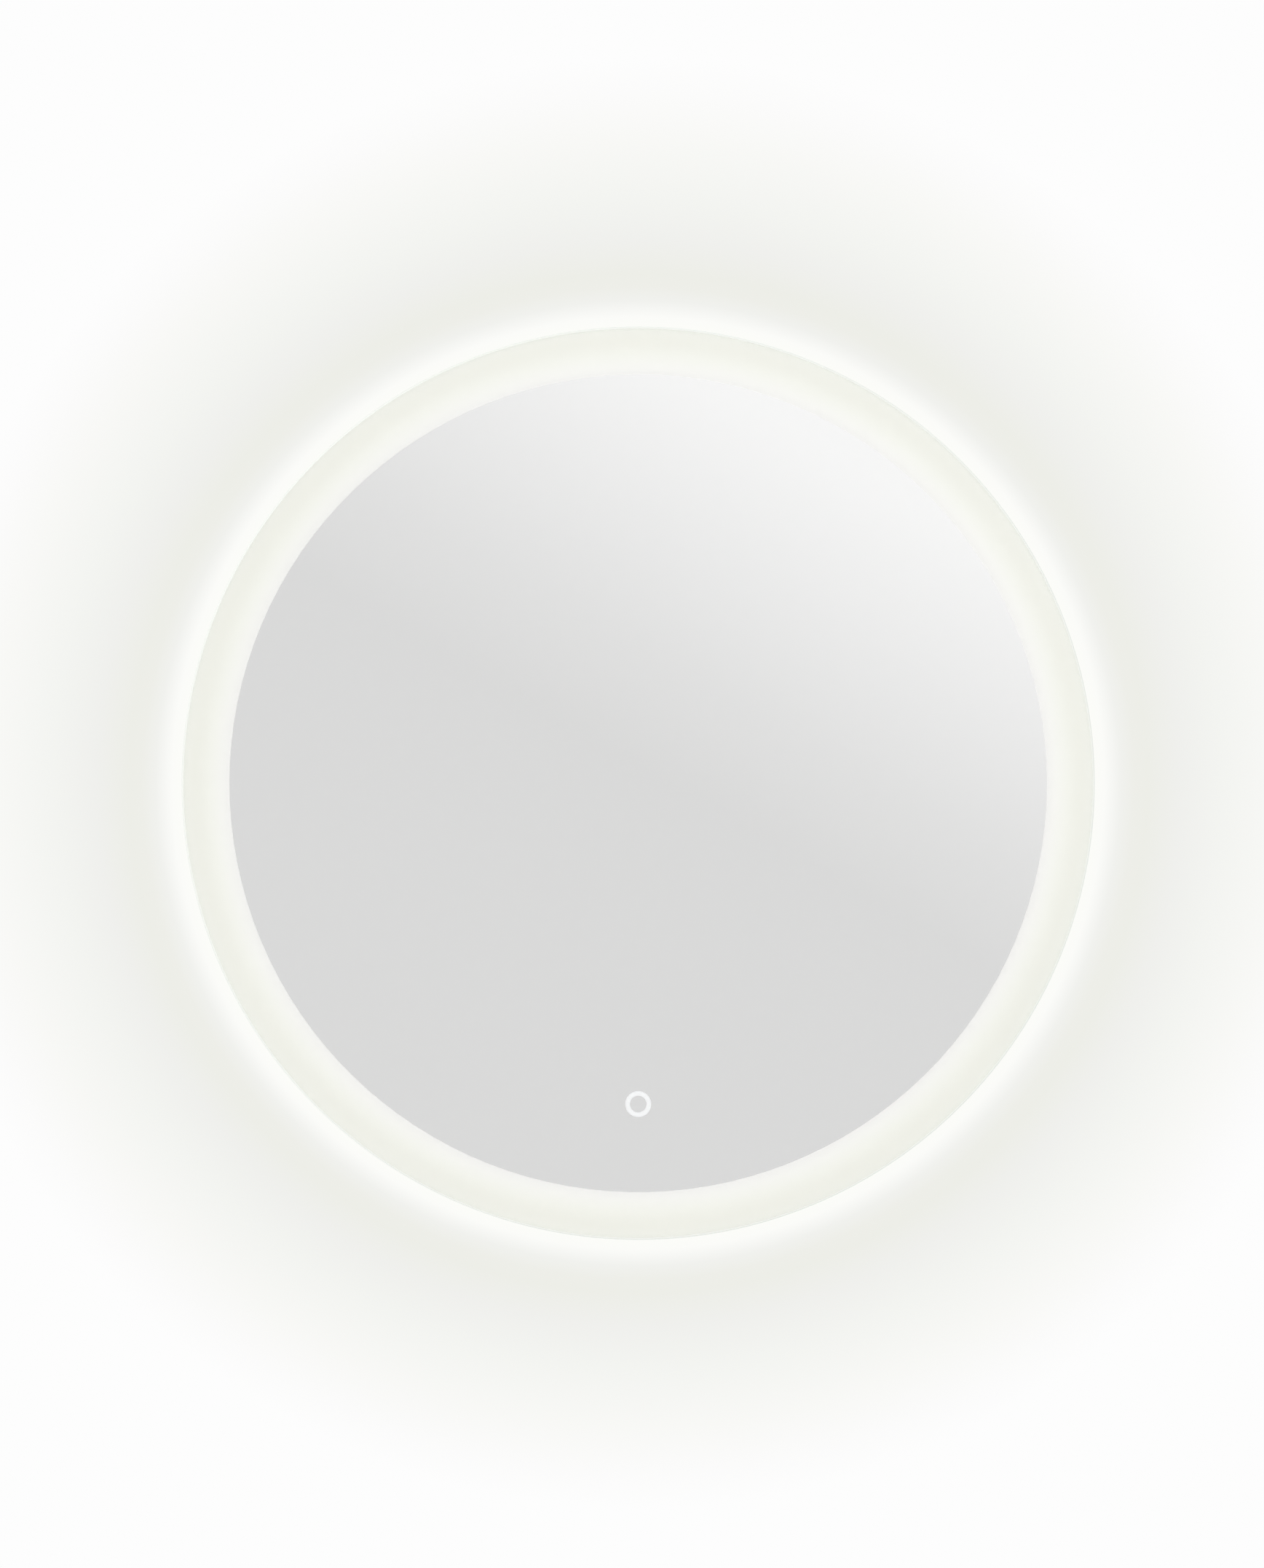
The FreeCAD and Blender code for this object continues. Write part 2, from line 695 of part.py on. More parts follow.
def make_led_chips():
    """One chip drawn at the strip's end and repeated round the ring at the strip's pitch."""
    body = new_body("led_chips", turned=f"270 - ({LED_COUNT} - 1) * {LED_STEP} / 2")
    outline = sketch_on(body, "XZ_Plane", "chip_outline", f"{STRIP_CENTRE} - dims.led_width / 2")
    polygon(outline, [
        (STRIP_OUTSIDE, "-dims.led_length / 2"),
        (LED_OUTSIDE, "-dims.led_length / 2"),
        (LED_OUTSIDE, "dims.led_length / 2"),
        (STRIP_OUTSIDE, "dims.led_length / 2"),
    ])
    chip = pad(body, "chip", outline, "dims.led_width")
    polar_pattern(body, "chip_row", [chip], LED_COUNT, f"({LED_COUNT} - 1) * {LED_STEP}")


def make_strip_connector():
    """Solder block between the circuit's two ends, over the hole where the lead comes out."""
    body = new_body("strip_connector", turned="90")
    section = sketch_on(body, "XY_Plane", "connector_section")
    outside = f"({FRAME_RADIUS} + dims.connector_height)"
    polygon(section, [
        (FRAME_RADIUS, f"-{STRIP_CENTRE} - dims.connector_width / 2"),
        (outside, f"-{STRIP_CENTRE} - dims.connector_width / 2"),
        (outside, f"-{STRIP_CENTRE} + dims.connector_width / 2"),
        (FRAME_RADIUS, f"-{STRIP_CENTRE} + dims.connector_width / 2"),
    ])
    revolve(body, "connector_arc", section, STRIP_GAP)


def make_strip_cover():
    """Opal channel-shaped cover. Its legs stand on the wall between the ribs and the circuit."""
    body = new_body("strip_cover")
    rear, front = f"-{STRIP_CENTRE} + dims.channel_width / 2", f"-{STRIP_CENTRE} - dims.channel_width / 2"
    inside = f"({LED_OUTSIDE} + dims.cover_gap)"
    crown = f"({inside} + dims.cover_height)"
    section = sketch_on(body, "XY_Plane", "cover_section")
    polygon(section, [
        (FRAME_RADIUS, front),
        (f"{crown} - dims.cover_chamfer", front),
        (crown, f"{front} + dims.cover_chamfer"),
        (crown, f"{rear} - dims.cover_chamfer"),
        (f"{crown} - dims.cover_chamfer", rear),
        (FRAME_RADIUS, rear),
        (FRAME_RADIUS, f"{rear} - dims.cover_leg"),
        (inside, f"{rear} - dims.cover_leg"),
        (inside, f"{front} + dims.cover_leg"),
        (FRAME_RADIUS, f"{front} + dims.cover_leg"),
    ])
    revolve(body, "cover_ring", section)


def make_frame_grommet():
    """Rubber bush that carries the strip's lead through the frame's wall."""
    flange = number("dims.grommet_flange")
    neck = number("dims.grommet_neck")
    bore = number("dims.strip_lead / 2")
    # The bush's ends are flat and the wall is curved, so their rims meet the curve first.
    wall_outside = math.sqrt(number(FRAME_RADIUS) ** 2 - neck**2)
    wall_inside = math.sqrt(number(FRAME_INSIDE) ** 2 - flange**2)
    lip = wall_inside - number("dims.grommet_lip")
    outline = [
        (bore, lip), (flange, lip), (flange, wall_inside),
        (neck, wall_inside), (neck, wall_outside), (bore, wall_outside),
    ]
    corners = [Vector(radius, 0, -height) for radius, height in outline]
    section = Part.Face(Part.makePolygon(corners + corners[:1]))
    bush = section.revolve(Vector(0, 0, 0), Vector(0, 0, 1), 360)
    bush.translate(Vector(0, -number(STRIP_CENTRE), 0))
    loose_part("frame_grommet", [bush])


# ---------------------------------------------------------------- the back


BOX_INSIDE_LENGTH = "(dims.box_length - 2 * dims.box_wall)"
BOX_INSIDE_HEIGHT = "(dims.box_height - 2 * dims.box_wall)"
BOX_BOSS_X = "(dims.box_length / 2 + dims.box_flange - dims.box_boss / 2)"
BOX_BOSS_Z = "(dims.box_height / 2 + dims.box_flange - dims.box_boss / 2)"
EAR_HOLE_REACH = "(dims.driver_length / 2 + dims.driver_ear_hole)"
CLEAT_STEP_Z = f"({RAIL_TOP} + dims.hang_drop)"
CLEAT_RIVET_Z = f"({CLEAT_STEP_Z} + dims.hanger_thickness + dims.cleat_web / 2)"
VENT_RADIUS = f"({BEAD_FOOT} - dims.vent_inset - dims.vent_length / 2)"
CLEAT_RIVET_SPREAD = "(dims.cleat_length - 2 * dims.cleat_rivet_inset)"


def box_corner_points():
    """The terminal box's four fixing points, as pairs of expressions."""
    return [
        (f"dims.box_x {sx} {BOX_BOSS_X}", f"dims.box_z {sz} {BOX_BOSS_Z}")
        for sx in "+-" for sz in "+-"
    ]


def make_back_plate():
    """Pressed steel disc with a stiffening bead, air slots and the holes for its fittings."""
    body = new_body("back_plate")
    slope = "dims.bead_height"
    inner = f"({BEAD_RADIUS} - dims.bead_width / 2)"
    outer = f"({BEAD_RADIUS} + dims.bead_width / 2)"
    shift = "dims.plate_thickness * tan(22.5)"
    section = sketch_on(body, "XY_Plane", "plate_section")
    polygon(section, [
        ("0", f"-{PLATE_REAR}"),
        (BEAD_FOOT, f"-{PLATE_REAR}"),
        (inner, f"-{PLATE_REAR} - dims.bead_height"),
        (outer, f"-{PLATE_REAR} - dims.bead_height"),
        (f"{outer} + {slope}", f"-{PLATE_REAR}"),
        (PLATE_RADIUS, f"-{PLATE_REAR}"),
        (PLATE_RADIUS, f"-{PLATE_FRONT}"),
        (f"{outer} + {slope} + {shift}", f"-{PLATE_FRONT}"),
        (f"{outer} + {shift}", f"-{PLATE_FRONT} - dims.bead_height"),
        (f"{inner} - {shift}", f"-{PLATE_FRONT} - dims.bead_height"),
        (f"{inner} - {slope} - {shift}", f"-{PLATE_FRONT}"),
        ("0", f"-{PLATE_FRONT}"),
    ])
    revolve(body, "pressed_disc", section)

    screw = sketch_on(body, "XZ_Plane", "screw_hole_outline", PLATE_REAR)
    screw_radius = "(dims.screw_shank + dims.hole_clearance) / 2"
    circle(screw, *across("dims.plate_screw_angle"), screw_radius)
    first = pocket(body, "screw_hole", screw)
    polar_pattern(body, "screw_holes", [first], "dims.plate_screws")

    vents = sketch_on(body, "XZ_Plane", "vent_outlines", PLATE_REAR)
    for index in range(int(number("dims.vents_per_group"))):
        turn = f"({index} - (dims.vents_per_group - 1) / 2) * dims.vent_angle"
        x, z = f"{VENT_RADIUS} * cos({turn})", f"{VENT_RADIUS} * sin({turn})"
        slot(vents, x, z, "dims.vent_length", "dims.vent_width")
    group = pocket(body, "right_vents", vents)
    mirrored(body, "left_vents", [group], "YZ_Plane")

    window = sketch_on(body, "XZ_Plane", "box_opening_outline", PLATE_REAR)
    rectangle(window, "dims.box_x", "dims.box_z", BOX_INSIDE_LENGTH, BOX_INSIDE_HEIGHT)
    pocket(body, "box_opening", window)

    holes = sketch_on(body, "XZ_Plane", "fitting_hole_outlines", PLATE_REAR)
    for x, z in box_corner_points():
        circle(holes, x, z, "(dims.lid_screw_shank + dims.hole_clearance) / 2")
    for side in "+-":
        x = f"dims.driver_x {side} {EAR_HOLE_REACH}"
        circle(holes, x, "dims.driver_z", "(dims.screw_shank + dims.hole_clearance) / 2")
    circle(holes, "dims.earth_x", "dims.earth_z", "(dims.earth_stud + dims.hole_clearance) / 2")
    pocket(body, "fitting_holes", holes)

    rivet = sketch_on(body, "XZ_Plane", "rivet_hole_outline", PLATE_REAR)
    rivet_radius = "(dims.rivet_shank + dims.hole_clearance) / 2"
    circle(rivet, f"-{CLEAT_RIVET_SPREAD} / 2", CLEAT_RIVET_Z, rivet_radius)
    first = pocket(body, "rivet_hole", rivet)
    linear_pattern(body, "rivet_holes", [first], "X_Axis",
                   CLEAT_RIVET_SPREAD, "dims.cleat_rivets")


def make_back_plate_screws():
    """Pan-headed screws that hold the plate to the frame's rear flange."""
    radius = number(PLATE_SCREW_RADIUS)
    count = int(number("dims.plate_screws"))
    solids = []
    for index in range(count):
        angle = math.radians(number("dims.plate_screw_angle") + 360 * index / count)
        x, z = radius * math.cos(angle), radius * math.sin(angle)
        solids.append(plate_screw(x, z))
    loose_part("back_plate_screws", solids)


def plate_screw(x, z):
    return headed_pin(x, z, number(PLATE_REAR), number("dims.screw_head") / 2,
                      number("dims.screw_head_height"), number("dims.screw_shank") / 2,
                      number("dims.screw_length"))


def make_hanging_cleat():
    """Upper half of the Z hanger, riveted to the plate. Its hook hangs behind the rail's lip."""
    body = new_body("hanging_cleat")
    hook_front = "(dims.rail_channel - dims.hook_clearance)"
    hook_rear = f"({hook_front} - dims.hanger_thickness)"
    web_rear = f"({PLATE_REAR} - dims.hanger_thickness)"
    step_top = f"({CLEAT_STEP_Z} + dims.hanger_thickness)"
    section = sketch_on(body, "YZ_Plane", "cleat_section")
    polygon(section, [
        (f"-{hook_rear}", f"{CLEAT_STEP_Z} - dims.hook_length"),
        (f"-{hook_front}", f"{CLEAT_STEP_Z} - dims.hook_length"),
        (f"-{hook_front}", CLEAT_STEP_Z),
        (f"-{PLATE_REAR}", CLEAT_STEP_Z),
        (f"-{PLATE_REAR}", f"{step_top} + dims.cleat_web"),
        (f"-{web_rear}", f"{step_top} + dims.cleat_web"),
        (f"-{web_rear}", step_top),
        (f"-{hook_rear}", step_top),
    ])
    bar = pad(body, "cleat_bar", section, "dims.cleat_length", midplane=True)
    soften_bends(body, bar)
    rivet = sketch_on(body, "XZ_Plane", "rivet_hole_outline")
    rivet_radius = "(dims.rivet_shank + dims.hole_clearance) / 2"
    circle(rivet, f"-{CLEAT_RIVET_SPREAD} / 2", CLEAT_RIVET_Z, rivet_radius)
    first = pocket(body, "rivet_hole", rivet)
    linear_pattern(body, "rivet_holes", [first], "X_Axis",
                   CLEAT_RIVET_SPREAD, "dims.cleat_rivets")


def soften_bends(body, bar):
    """Rounds a hanger bar's long edges where the extrusion turns."""
    dress(body, "Fillet", "bends", bar, "dims.hanger_bend",
          lambda edge: edge.BoundBox.YLength < 1e-4 and edge.BoundBox.ZLength < 1e-4)


def make_cleat_rivets():
    """Blind rivets with their heads on the cleat and their tails inside the plate."""
    spread, count = number(CLEAT_RIVET_SPREAD), int(number("dims.cleat_rivets"))
    z = number(CLEAT_RIVET_Z)
    shoulder = number(f"{PLATE_REAR} - dims.hanger_thickness")
    shank = number("dims.hanger_thickness + dims.plate_thickness + dims.rivet_tail")
    solids = []
    for index in range(count):
        x = spread * (index / (count - 1) - 0.5)
        solids.append(headed_pin(x, z, shoulder, number("dims.rivet_head") / 2,
                                 number("dims.rivet_head_height"),
                                 number("dims.rivet_shank") / 2, shank))
    loose_part("cleat_rivets", solids)


def make_wall_rail():
    """Lower half of the Z hanger. Its web is screwed to the wall through two slots."""
    body = new_body("wall_rail", on_mirror=False)
    lip_front = "(dims.rail_channel + dims.hanger_thickness)"
    step_low = "(dims.rail_above - dims.hanger_thickness)"
    section = sketch_on(body, "YZ_Plane", "rail_section")
    polygon(section, [
        ("0", "-dims.rail_below"),
        ("-dims.hanger_thickness", "-dims.rail_below"),
        ("-dims.hanger_thickness", step_low),
        (f"-{lip_front}", step_low),
        (f"-{lip_front}", RAIL_TOP),
        ("-dims.rail_channel", RAIL_TOP),
        ("-dims.rail_channel", "dims.rail_above"),
        ("0", "dims.rail_above"),
    ])
    bar = pad(body, "rail_bar", section, "dims.rail_screw_spacing + 2 * dims.rail_end", midplane=True)
    soften_bends(body, bar)
    slots = sketch_on(body, "XZ_Plane", "screw_slot_outlines")
    for side in "+-":
        slot(slots, f"0 {side} dims.rail_screw_spacing / 2", "0",
             "dims.rail_slot_length", "dims.rail_slot_width")
    pocket(body, "screw_slots", slots)


def make_wall_bumpers():
    """Rubber feet on the back plate that hold the mirror's lower half off the wall."""
    reach = number(f"{BEAD_FOOT} - dims.bumper_inset")
    angle = math.radians(number("dims.bumper_angle"))
    top = number("dims.bumper_diameter") / 2
    foot = top - number("dims.bumper_draft")
    solids = []
    for side in (-1, 1):
        where = at(side * reach * math.cos(angle), -reach * math.sin(angle), 0)
        solids.append(Part.makeCone(foot, top, number(PLATE_REAR), where, Vector(0, -1, 0)))
    loose_part("wall_bumpers", solids)


# ---------------------------------------------------------------- mains terminal box


def make_terminal_box():
    """Moulded tray inside the plate, open to the back, with its cord saddle and screw bosses."""
    body = new_body("terminal_box")
    flange_length = "dims.box_length + 2 * dims.box_flange"
    flange_height = "dims.box_height + 2 * dims.box_flange"
    rim = sketch_on(body, "XZ_Plane", "flange_outline", PLATE_FRONT)
    rectangle(rim, "dims.box_x", "dims.box_z", flange_length, flange_height)
    flange = pad(body, "flange", rim, "dims.box_wall")
    dress(body, "Fillet", "flange_corners", flange, "dims.box_corner", runs_along_y)

    outside = sketch_on(body, "XZ_Plane", "tray_outline", PLATE_FRONT)
    rectangle(outside, "dims.box_x", "dims.box_z", "dims.box_length", "dims.box_height")
    pad(body, "tray", outside, "dims.box_depth")
    bosses = sketch_on(body, "XZ_Plane", "boss_outlines", PLATE_FRONT)
    for x, z in box_corner_points():
        circle(bosses, x, z, "dims.box_boss / 2")
    pad(body, "bosses", bosses, "dims.lid_screw_length")

    inside = sketch_on(body, "XZ_Plane", "cavity_outline", BOX_FLOOR)
    rectangle(inside, "dims.box_x", "dims.box_z", BOX_INSIDE_LENGTH, BOX_INSIDE_HEIGHT)
    pocket(body, "cavity", inside, "dims.box_depth")
    pilots = sketch_on(body, "XZ_Plane", "pilot_outlines",
                       f"{PLATE_FRONT} + dims.lid_screw_length - dims.pilot_floor")
    for x, z in box_corner_points():
        circle(pilots, x, z, "(dims.lid_screw_shank + dims.hole_clearance) / 2")
    pocket(body, "boss_pilots", pilots, "dims.lid_screw_length")

    saddle = sketch_on(body, "XZ_Plane", "saddle_outline", f"{BOX_FLOOR} - dims.clamp_saddle")
    rectangle(saddle, "dims.box_x + dims.clamp_x", "dims.box_z",
              "dims.clamp_width", "dims.clamp_length")
    pad(body, "cord_saddle", saddle, "dims.clamp_saddle")
    posts = sketch_on(body, "XZ_Plane", "post_outlines", CLAMP_FRONT)
    for side in "+-":
        z = f"dims.box_z {side} dims.clamp_screw_spread / 2"
        circle(posts, "dims.box_x + dims.clamp_x", z, "dims.clamp_screw_shank")
    pad(body, "clamp_posts", posts, "dims.clamp_opening")
    threads = sketch_on(body, "XZ_Plane", "clamp_pilot_outlines", f"{BOX_FLOOR} - dims.pilot_floor")
    for side in "+-":
        z = f"dims.box_z {side} dims.clamp_screw_spread / 2"
        circle(threads, "dims.box_x + dims.clamp_x", z, f"{CLAMP_PILOT}")
    pocket(body, "clamp_pilots", threads, "dims.clamp_saddle + dims.clamp_opening")

    for name, plane, offset, x, y, width in lead_exits():
        hole = sketch_on(body, plane, f"{name}_hole_outline", offset)
        circle(hole, x, y, f"{width} / 2 + dims.lead_hole_clearance")
        pocket(body, f"{name}_hole", hole, "3 * dims.box_wall", into_room=True)


CLAMP_FRONT = f"({BOX_FLOOR} - dims.clamp_saddle - dims.clamp_opening)"
CLAMP_PILOT = "(dims.clamp_screw_shank + dims.hole_clearance) / 2"
BOX_TOP = "(dims.box_z + dims.box_height / 2)"
BOX_LOW = "(dims.box_z - dims.box_height / 2)"
BOX_LEFT = "(dims.box_x - dims.box_length / 2)"
BLOCK_LEFT = "(dims.box_x + dims.block_x - dims.block_width / 2)"
BLOCK_REAR = f"({BOX_FLOOR} - dims.block_height)"
WIRE_DEPTH = f"({BLOCK_REAR} + dims.block_wire_depth)"
GUTTER_X = f"(({BOX_LEFT} + dims.box_wall + {BLOCK_LEFT}) / 2)"


def lead_exits():
    """Where leads leave the tray: name, sketch plane and its offset, the hole's centre, lead."""
    return [
        ("driver", "XY_Plane", f"{BOX_TOP} - 2 * dims.box_wall",
         GUTTER_X, f"-{WIRE_DEPTH}", "dims.power_lead"),
        ("heater", "XY_Plane", f"{BOX_LOW} - dims.box_wall",
         GUTTER_X, f"-{WIRE_DEPTH}", "dims.heater_lead"),
        ("earth", "YZ_Plane", f"{BOX_LEFT} - dims.box_wall",
         f"-{WIRE_DEPTH}", "dims.box_z", "dims.earth_lead"),
    ]


def make_terminal_box_lid():
    """Flat lid on the plate's rear face, with a locating lip and the mains inlet's hole."""
    body = new_body("terminal_box_lid")
    lid_rear = f"({PLATE_REAR} - dims.lid_thickness)"
    outline = sketch_on(body, "XZ_Plane", "lid_outline", lid_rear)
    rectangle(outline, "dims.box_x", "dims.box_z",
              "dims.box_length + 2 * dims.box_flange", "dims.box_height + 2 * dims.box_flange")
    lid = pad(body, "lid", outline, "dims.lid_thickness")
    rounded = dress(body, "Fillet", "lid_corners", lid, "dims.box_corner", runs_along_y)
    dress(body, "Fillet", "lid_rim", rounded, "dims.lid_thickness / 3", lies_at_depth(lid_rear))
    lip = sketch_on(body, "XZ_Plane", "lip_outline", PLATE_REAR)
    for inward in ("dims.lid_clearance", "(dims.lid_clearance + dims.box_wall)"):
        rectangle(lip, "dims.box_x", "dims.box_z",
                  f"{BOX_INSIDE_LENGTH} - 2 * {inward}", f"{BOX_INSIDE_HEIGHT} - 2 * {inward}")
    pad(body, "locating_lip", lip, "dims.lid_lip")
    holes = sketch_on(body, "XZ_Plane", "lid_hole_outlines", lid_rear)
    for x, z in box_corner_points():
        circle(holes, x, z, "(dims.lid_screw_shank + dims.hole_clearance) / 2")
    circle(holes, "dims.box_x + dims.inlet_x", "dims.box_z", "dims.inlet_neck")
    pocket(body, "lid_holes", holes)


def make_lid_screws():
    shoulder = number(f"{PLATE_REAR} - dims.lid_thickness")
    solids = []
    for x, z in box_corner_points():
        solids.append(headed_pin(number(x), number(z), shoulder, number("dims.lid_screw_head") / 2,
                                 number("dims.small_head_height"),
                                 number("dims.lid_screw_shank") / 2,
                                 number("dims.lid_screw_length")))
    loose_part("lid_screws", solids)


def make_inlet_grommet():
    """Rubber bush in the lid, through which the mains cable comes in from the wall."""
    body = new_body("inlet_grommet")
    x, z = "dims.box_x + dims.inlet_x", "dims.box_z"
    lid_rear = f"({PLATE_REAR} - dims.lid_thickness)"
    layers = [
        ("outer_lip", f"{lid_rear} - dims.inlet_lip", "dims.inlet_flange", "dims.inlet_lip"),
        ("neck", lid_rear, "dims.inlet_neck", "dims.lid_thickness"),
        ("inner_lip", PLATE_REAR, "dims.inlet_flange", "dims.inlet_lip"),
    ]
    for name, depth, radius, height in layers:
        outline = sketch_on(body, "XZ_Plane", f"{name}_outline", depth)
        circle(outline, x, z, radius)
        pad(body, name, outline, height)
    bore = sketch_on(body, "XZ_Plane", "bore_outline", lid_rear)
    circle(bore, x, z, "dims.inlet_radius")
    pocket(body, "bore", bore)


FIRST_POLE_Z = "(dims.box_z - dims.pole_pitch * (dims.pole_count - 1) / 2)"
WELL_FLOOR = f"({BLOCK_REAR} + dims.block_well_depth)"


def make_terminal_block():
    """Screw block on the tray's floor, its screws facing the open lid."""
    body = new_body("terminal_block")
    x = "(dims.box_x + dims.block_x)"
    outline = sketch_on(body, "XZ_Plane", "block_outline", BLOCK_REAR)
    rectangle(outline, x, "dims.box_z", "dims.block_width", "dims.pole_pitch * dims.pole_count")
    pad(body, "block", outline, "dims.block_height")
    repeat = "dims.pole_pitch * (dims.pole_count - 1)"
    wells = sketch_on(body, "XZ_Plane", "screw_well_outlines", WELL_FLOOR)
    for side in "+-":
        circle(wells, f"{x} {side} dims.block_width / 4", FIRST_POLE_Z, "dims.block_screw / 2")
    cut = pocket(body, "screw_wells", wells, "dims.block_height")
    linear_pattern(body, "screw_well_rows", [cut], "Z_Axis", repeat, "dims.pole_count")
    grooves = sketch_on(body, "XZ_Plane", "groove_outline", f"{BLOCK_REAR} + dims.groove_depth")
    rectangle(grooves, x, f"({FIRST_POLE_Z} + dims.pole_pitch / 2)", "dims.block_width * 1.2",
              "dims.groove_width")
    notch = pocket(body, "groove", grooves, "dims.groove_depth * 2")
    linear_pattern(body, "grooves", [notch], "Z_Axis",
                   "dims.pole_pitch * (dims.pole_count - 2)", "dims.pole_count - 1")


def make_terminal_screws():
    """The block's clamping screws, sunk in their wells."""
    head = number(f"{BLOCK_REAR} + dims.block_screw_sink")
    radius = number("(dims.block_screw - dims.hole_clearance) / 2")
    first, pitch = number(FIRST_POLE_Z), number("dims.pole_pitch")
    solids = []
    for pole in range(int(number("dims.pole_count"))):
        for side in "+-":
            x = number(f"dims.box_x + dims.block_x {side} dims.block_width / 4")
            z = first + pitch * pole
            solids.append(upright_cylinder(x, z, head, number(WELL_FLOOR), radius))
    loose_part("terminal_screws", solids)


def make_cord_clamp():
    """Bar that presses the mains cable on its saddle."""
    body = new_body("cord_clamp")
    rear = f"({CLAMP_FRONT} - dims.clamp_thickness)"
    x = "(dims.box_x + dims.clamp_x)"
    outline = sketch_on(body, "XZ_Plane", "bar_outline", rear)
    rectangle(outline, x, "dims.box_z", "dims.clamp_width", "dims.clamp_length")
    bar = pad(body, "bar", outline, "dims.clamp_thickness")
    dress(body, "Fillet", "bar_ends", bar, "dims.clamp_corner", runs_along_y)
    holes = sketch_on(body, "XZ_Plane", "screw_hole_outlines", rear)
    for side in "+-":
        circle(holes, x, f"dims.box_z {side} dims.clamp_screw_spread / 2", CLAMP_PILOT)
    pocket(body, "screw_holes", holes)


def make_clamp_screws():
    x = number("dims.box_x + dims.clamp_x")
    shoulder = number(f"{CLAMP_FRONT} - dims.clamp_thickness")
    solids = []
    for side in "+-":
        z = number(f"dims.box_z {side} dims.clamp_screw_spread / 2")
        solids.append(headed_pin(x, z, shoulder, number("dims.lid_screw_head") / 2,
                                 number("dims.small_head_height"),
                                 number("dims.clamp_screw_shank") / 2,
                                 number("dims.clamp_thickness + dims.clamp_opening")))
    loose_part("clamp_screws", solids)


# ---------------------------------------------------------------- driver


DRIVER_SEAM = f"({PLATE_FRONT} + dims.driver_height - dims.driver_lid_height)"


def make_driver_case():
    """Potted driver: the lower shell with a fixing ear at each end."""
    body = new_body("driver_case")
    ears = sketch_on(body, "XZ_Plane", "ear_outline", PLATE_FRONT)
    rectangle(ears, "dims.driver_x", "dims.driver_z",
              "dims.driver_length + 2 * dims.driver_ear", "dims.driver_width / 2")
    flat = pad(body, "ears", ears, "dims.driver_ear_thickness")
    dress(body, "Fillet", "ear_corners", flat, "dims.driver_corner", runs_along_y)
    shell = sketch_on(body, "XZ_Plane", "case_outline", PLATE_FRONT)
    polygon(shell, driver_outline())
    pad(body, "case", shell, f"{DRIVER_SEAM} - {PLATE_FRONT}")
    holes = sketch_on(body, "XZ_Plane", "ear_hole_outlines", PLATE_FRONT)
    for side in "+-":
        x = f"dims.driver_x {side} {EAR_HOLE_REACH}"
        circle(holes, x, "dims.driver_z", "(dims.screw_shank + dims.hole_clearance) / 2")
    pocket(body, "ear_holes", holes)


def driver_outline():
    """The driver's plan: a rectangle with clipped corners."""
    clip = "dims.driver_corner / 2"
    left, right = "dims.driver_x - dims.driver_length / 2", "dims.driver_x + dims.driver_length / 2"
    low, high = "dims.driver_z - dims.driver_width / 2", "dims.driver_z + dims.driver_width / 2"
    return [
        (f"{left} + {clip}", low), (f"{right} - {clip}", low),
        (right, f"{low} + {clip}"), (right, f"{high} - {clip}"),
        (f"{right} - {clip}", high), (f"{left} + {clip}", high),
        (left, f"{high} - {clip}"), (left, f"{low} + {clip}"),
    ]


def make_driver_lid():
    """Snap-on cover of the driver, chamfered all round."""
    body = new_body("driver_lid")
    outline = sketch_on(body, "XZ_Plane", "lid_outline", DRIVER_SEAM)
    polygon(outline, driver_outline())
    lid = pad(body, "lid", outline, "dims.driver_lid_height")
    top = f"({PLATE_FRONT} + dims.driver_height)"
    dress(body, "Chamfer", "lid_chamfer", lid, "dims.driver_chamfer", lies_at_depth(top))


def make_driver_screws():
    """Screws from behind the plate into the driver's ears."""
    reach = number(EAR_HOLE_REACH)
    x, z = number("dims.driver_x"), number("dims.driver_z")
    loose_part("driver_screws", [plate_screw(x + side * reach, z) for side in (-1, 1)])


# ---------------------------------------------------------------- touch switch


def make_touch_switch_case():
    """Shallow tray stuck to the back of the silver, behind the touch ring."""
    body = new_body("touch_switch_case")
    z = TOUCH_Z
    outline = sketch_on(body, "XZ_Plane", "case_outline", SWITCH_REAR)
    rectangle(outline, "0", z, "dims.switch_width", "dims.switch_height")
    block = pad(body, "case", outline, "dims.switch_depth")
    dress(body, "Fillet", "case_corners", block, "dims.switch_corner", runs_along_y)
    inside = sketch_on(body, "XZ_Plane", "cavity_outline", f"{SWITCH_REAR} + dims.switch_wall")
    rectangle(inside, "0", z, "dims.switch_width - 2 * dims.switch_wall",
              "dims.switch_height - 2 * dims.switch_wall")
    pocket(body, "cavity", inside, "dims.switch_depth", into_room=True)
    supports = sketch_on(body, "XZ_Plane", "support_outlines", f"{SWITCH_REAR} + dims.switch_wall")
    for side in "+-":
        rectangle(supports, f"0 {side} dims.switch_width / 3", z,
                  "dims.board_support", "dims.switch_height / 2")
    pad(body, "board_supports", supports, "dims.board_gap")
    feed = sketch_on(body, "XY_Plane", "strip_lead_hole_outline",
                     f"{z} - dims.switch_height / 2 - dims.switch_wall")
    circle(feed, "0", f"-{SWITCH_LEAD_DEPTH}", "dims.strip_lead / 2 + dims.lead_hole_clearance")
    pocket(body, "strip_lead_hole", feed, "3 * dims.switch_wall", into_room=True)
    supply = sketch_on(body, "YZ_Plane", "supply_hole_outline",
                       "dims.switch_width / 2 - 2 * dims.switch_wall")
    circle(supply, f"-{SWITCH_LEAD_DEPTH}", z, "dims.output_lead / 2 + dims.lead_hole_clearance")
    pocket(body, "supply_hole", supply, "3 * dims.switch_wall", into_room=True)


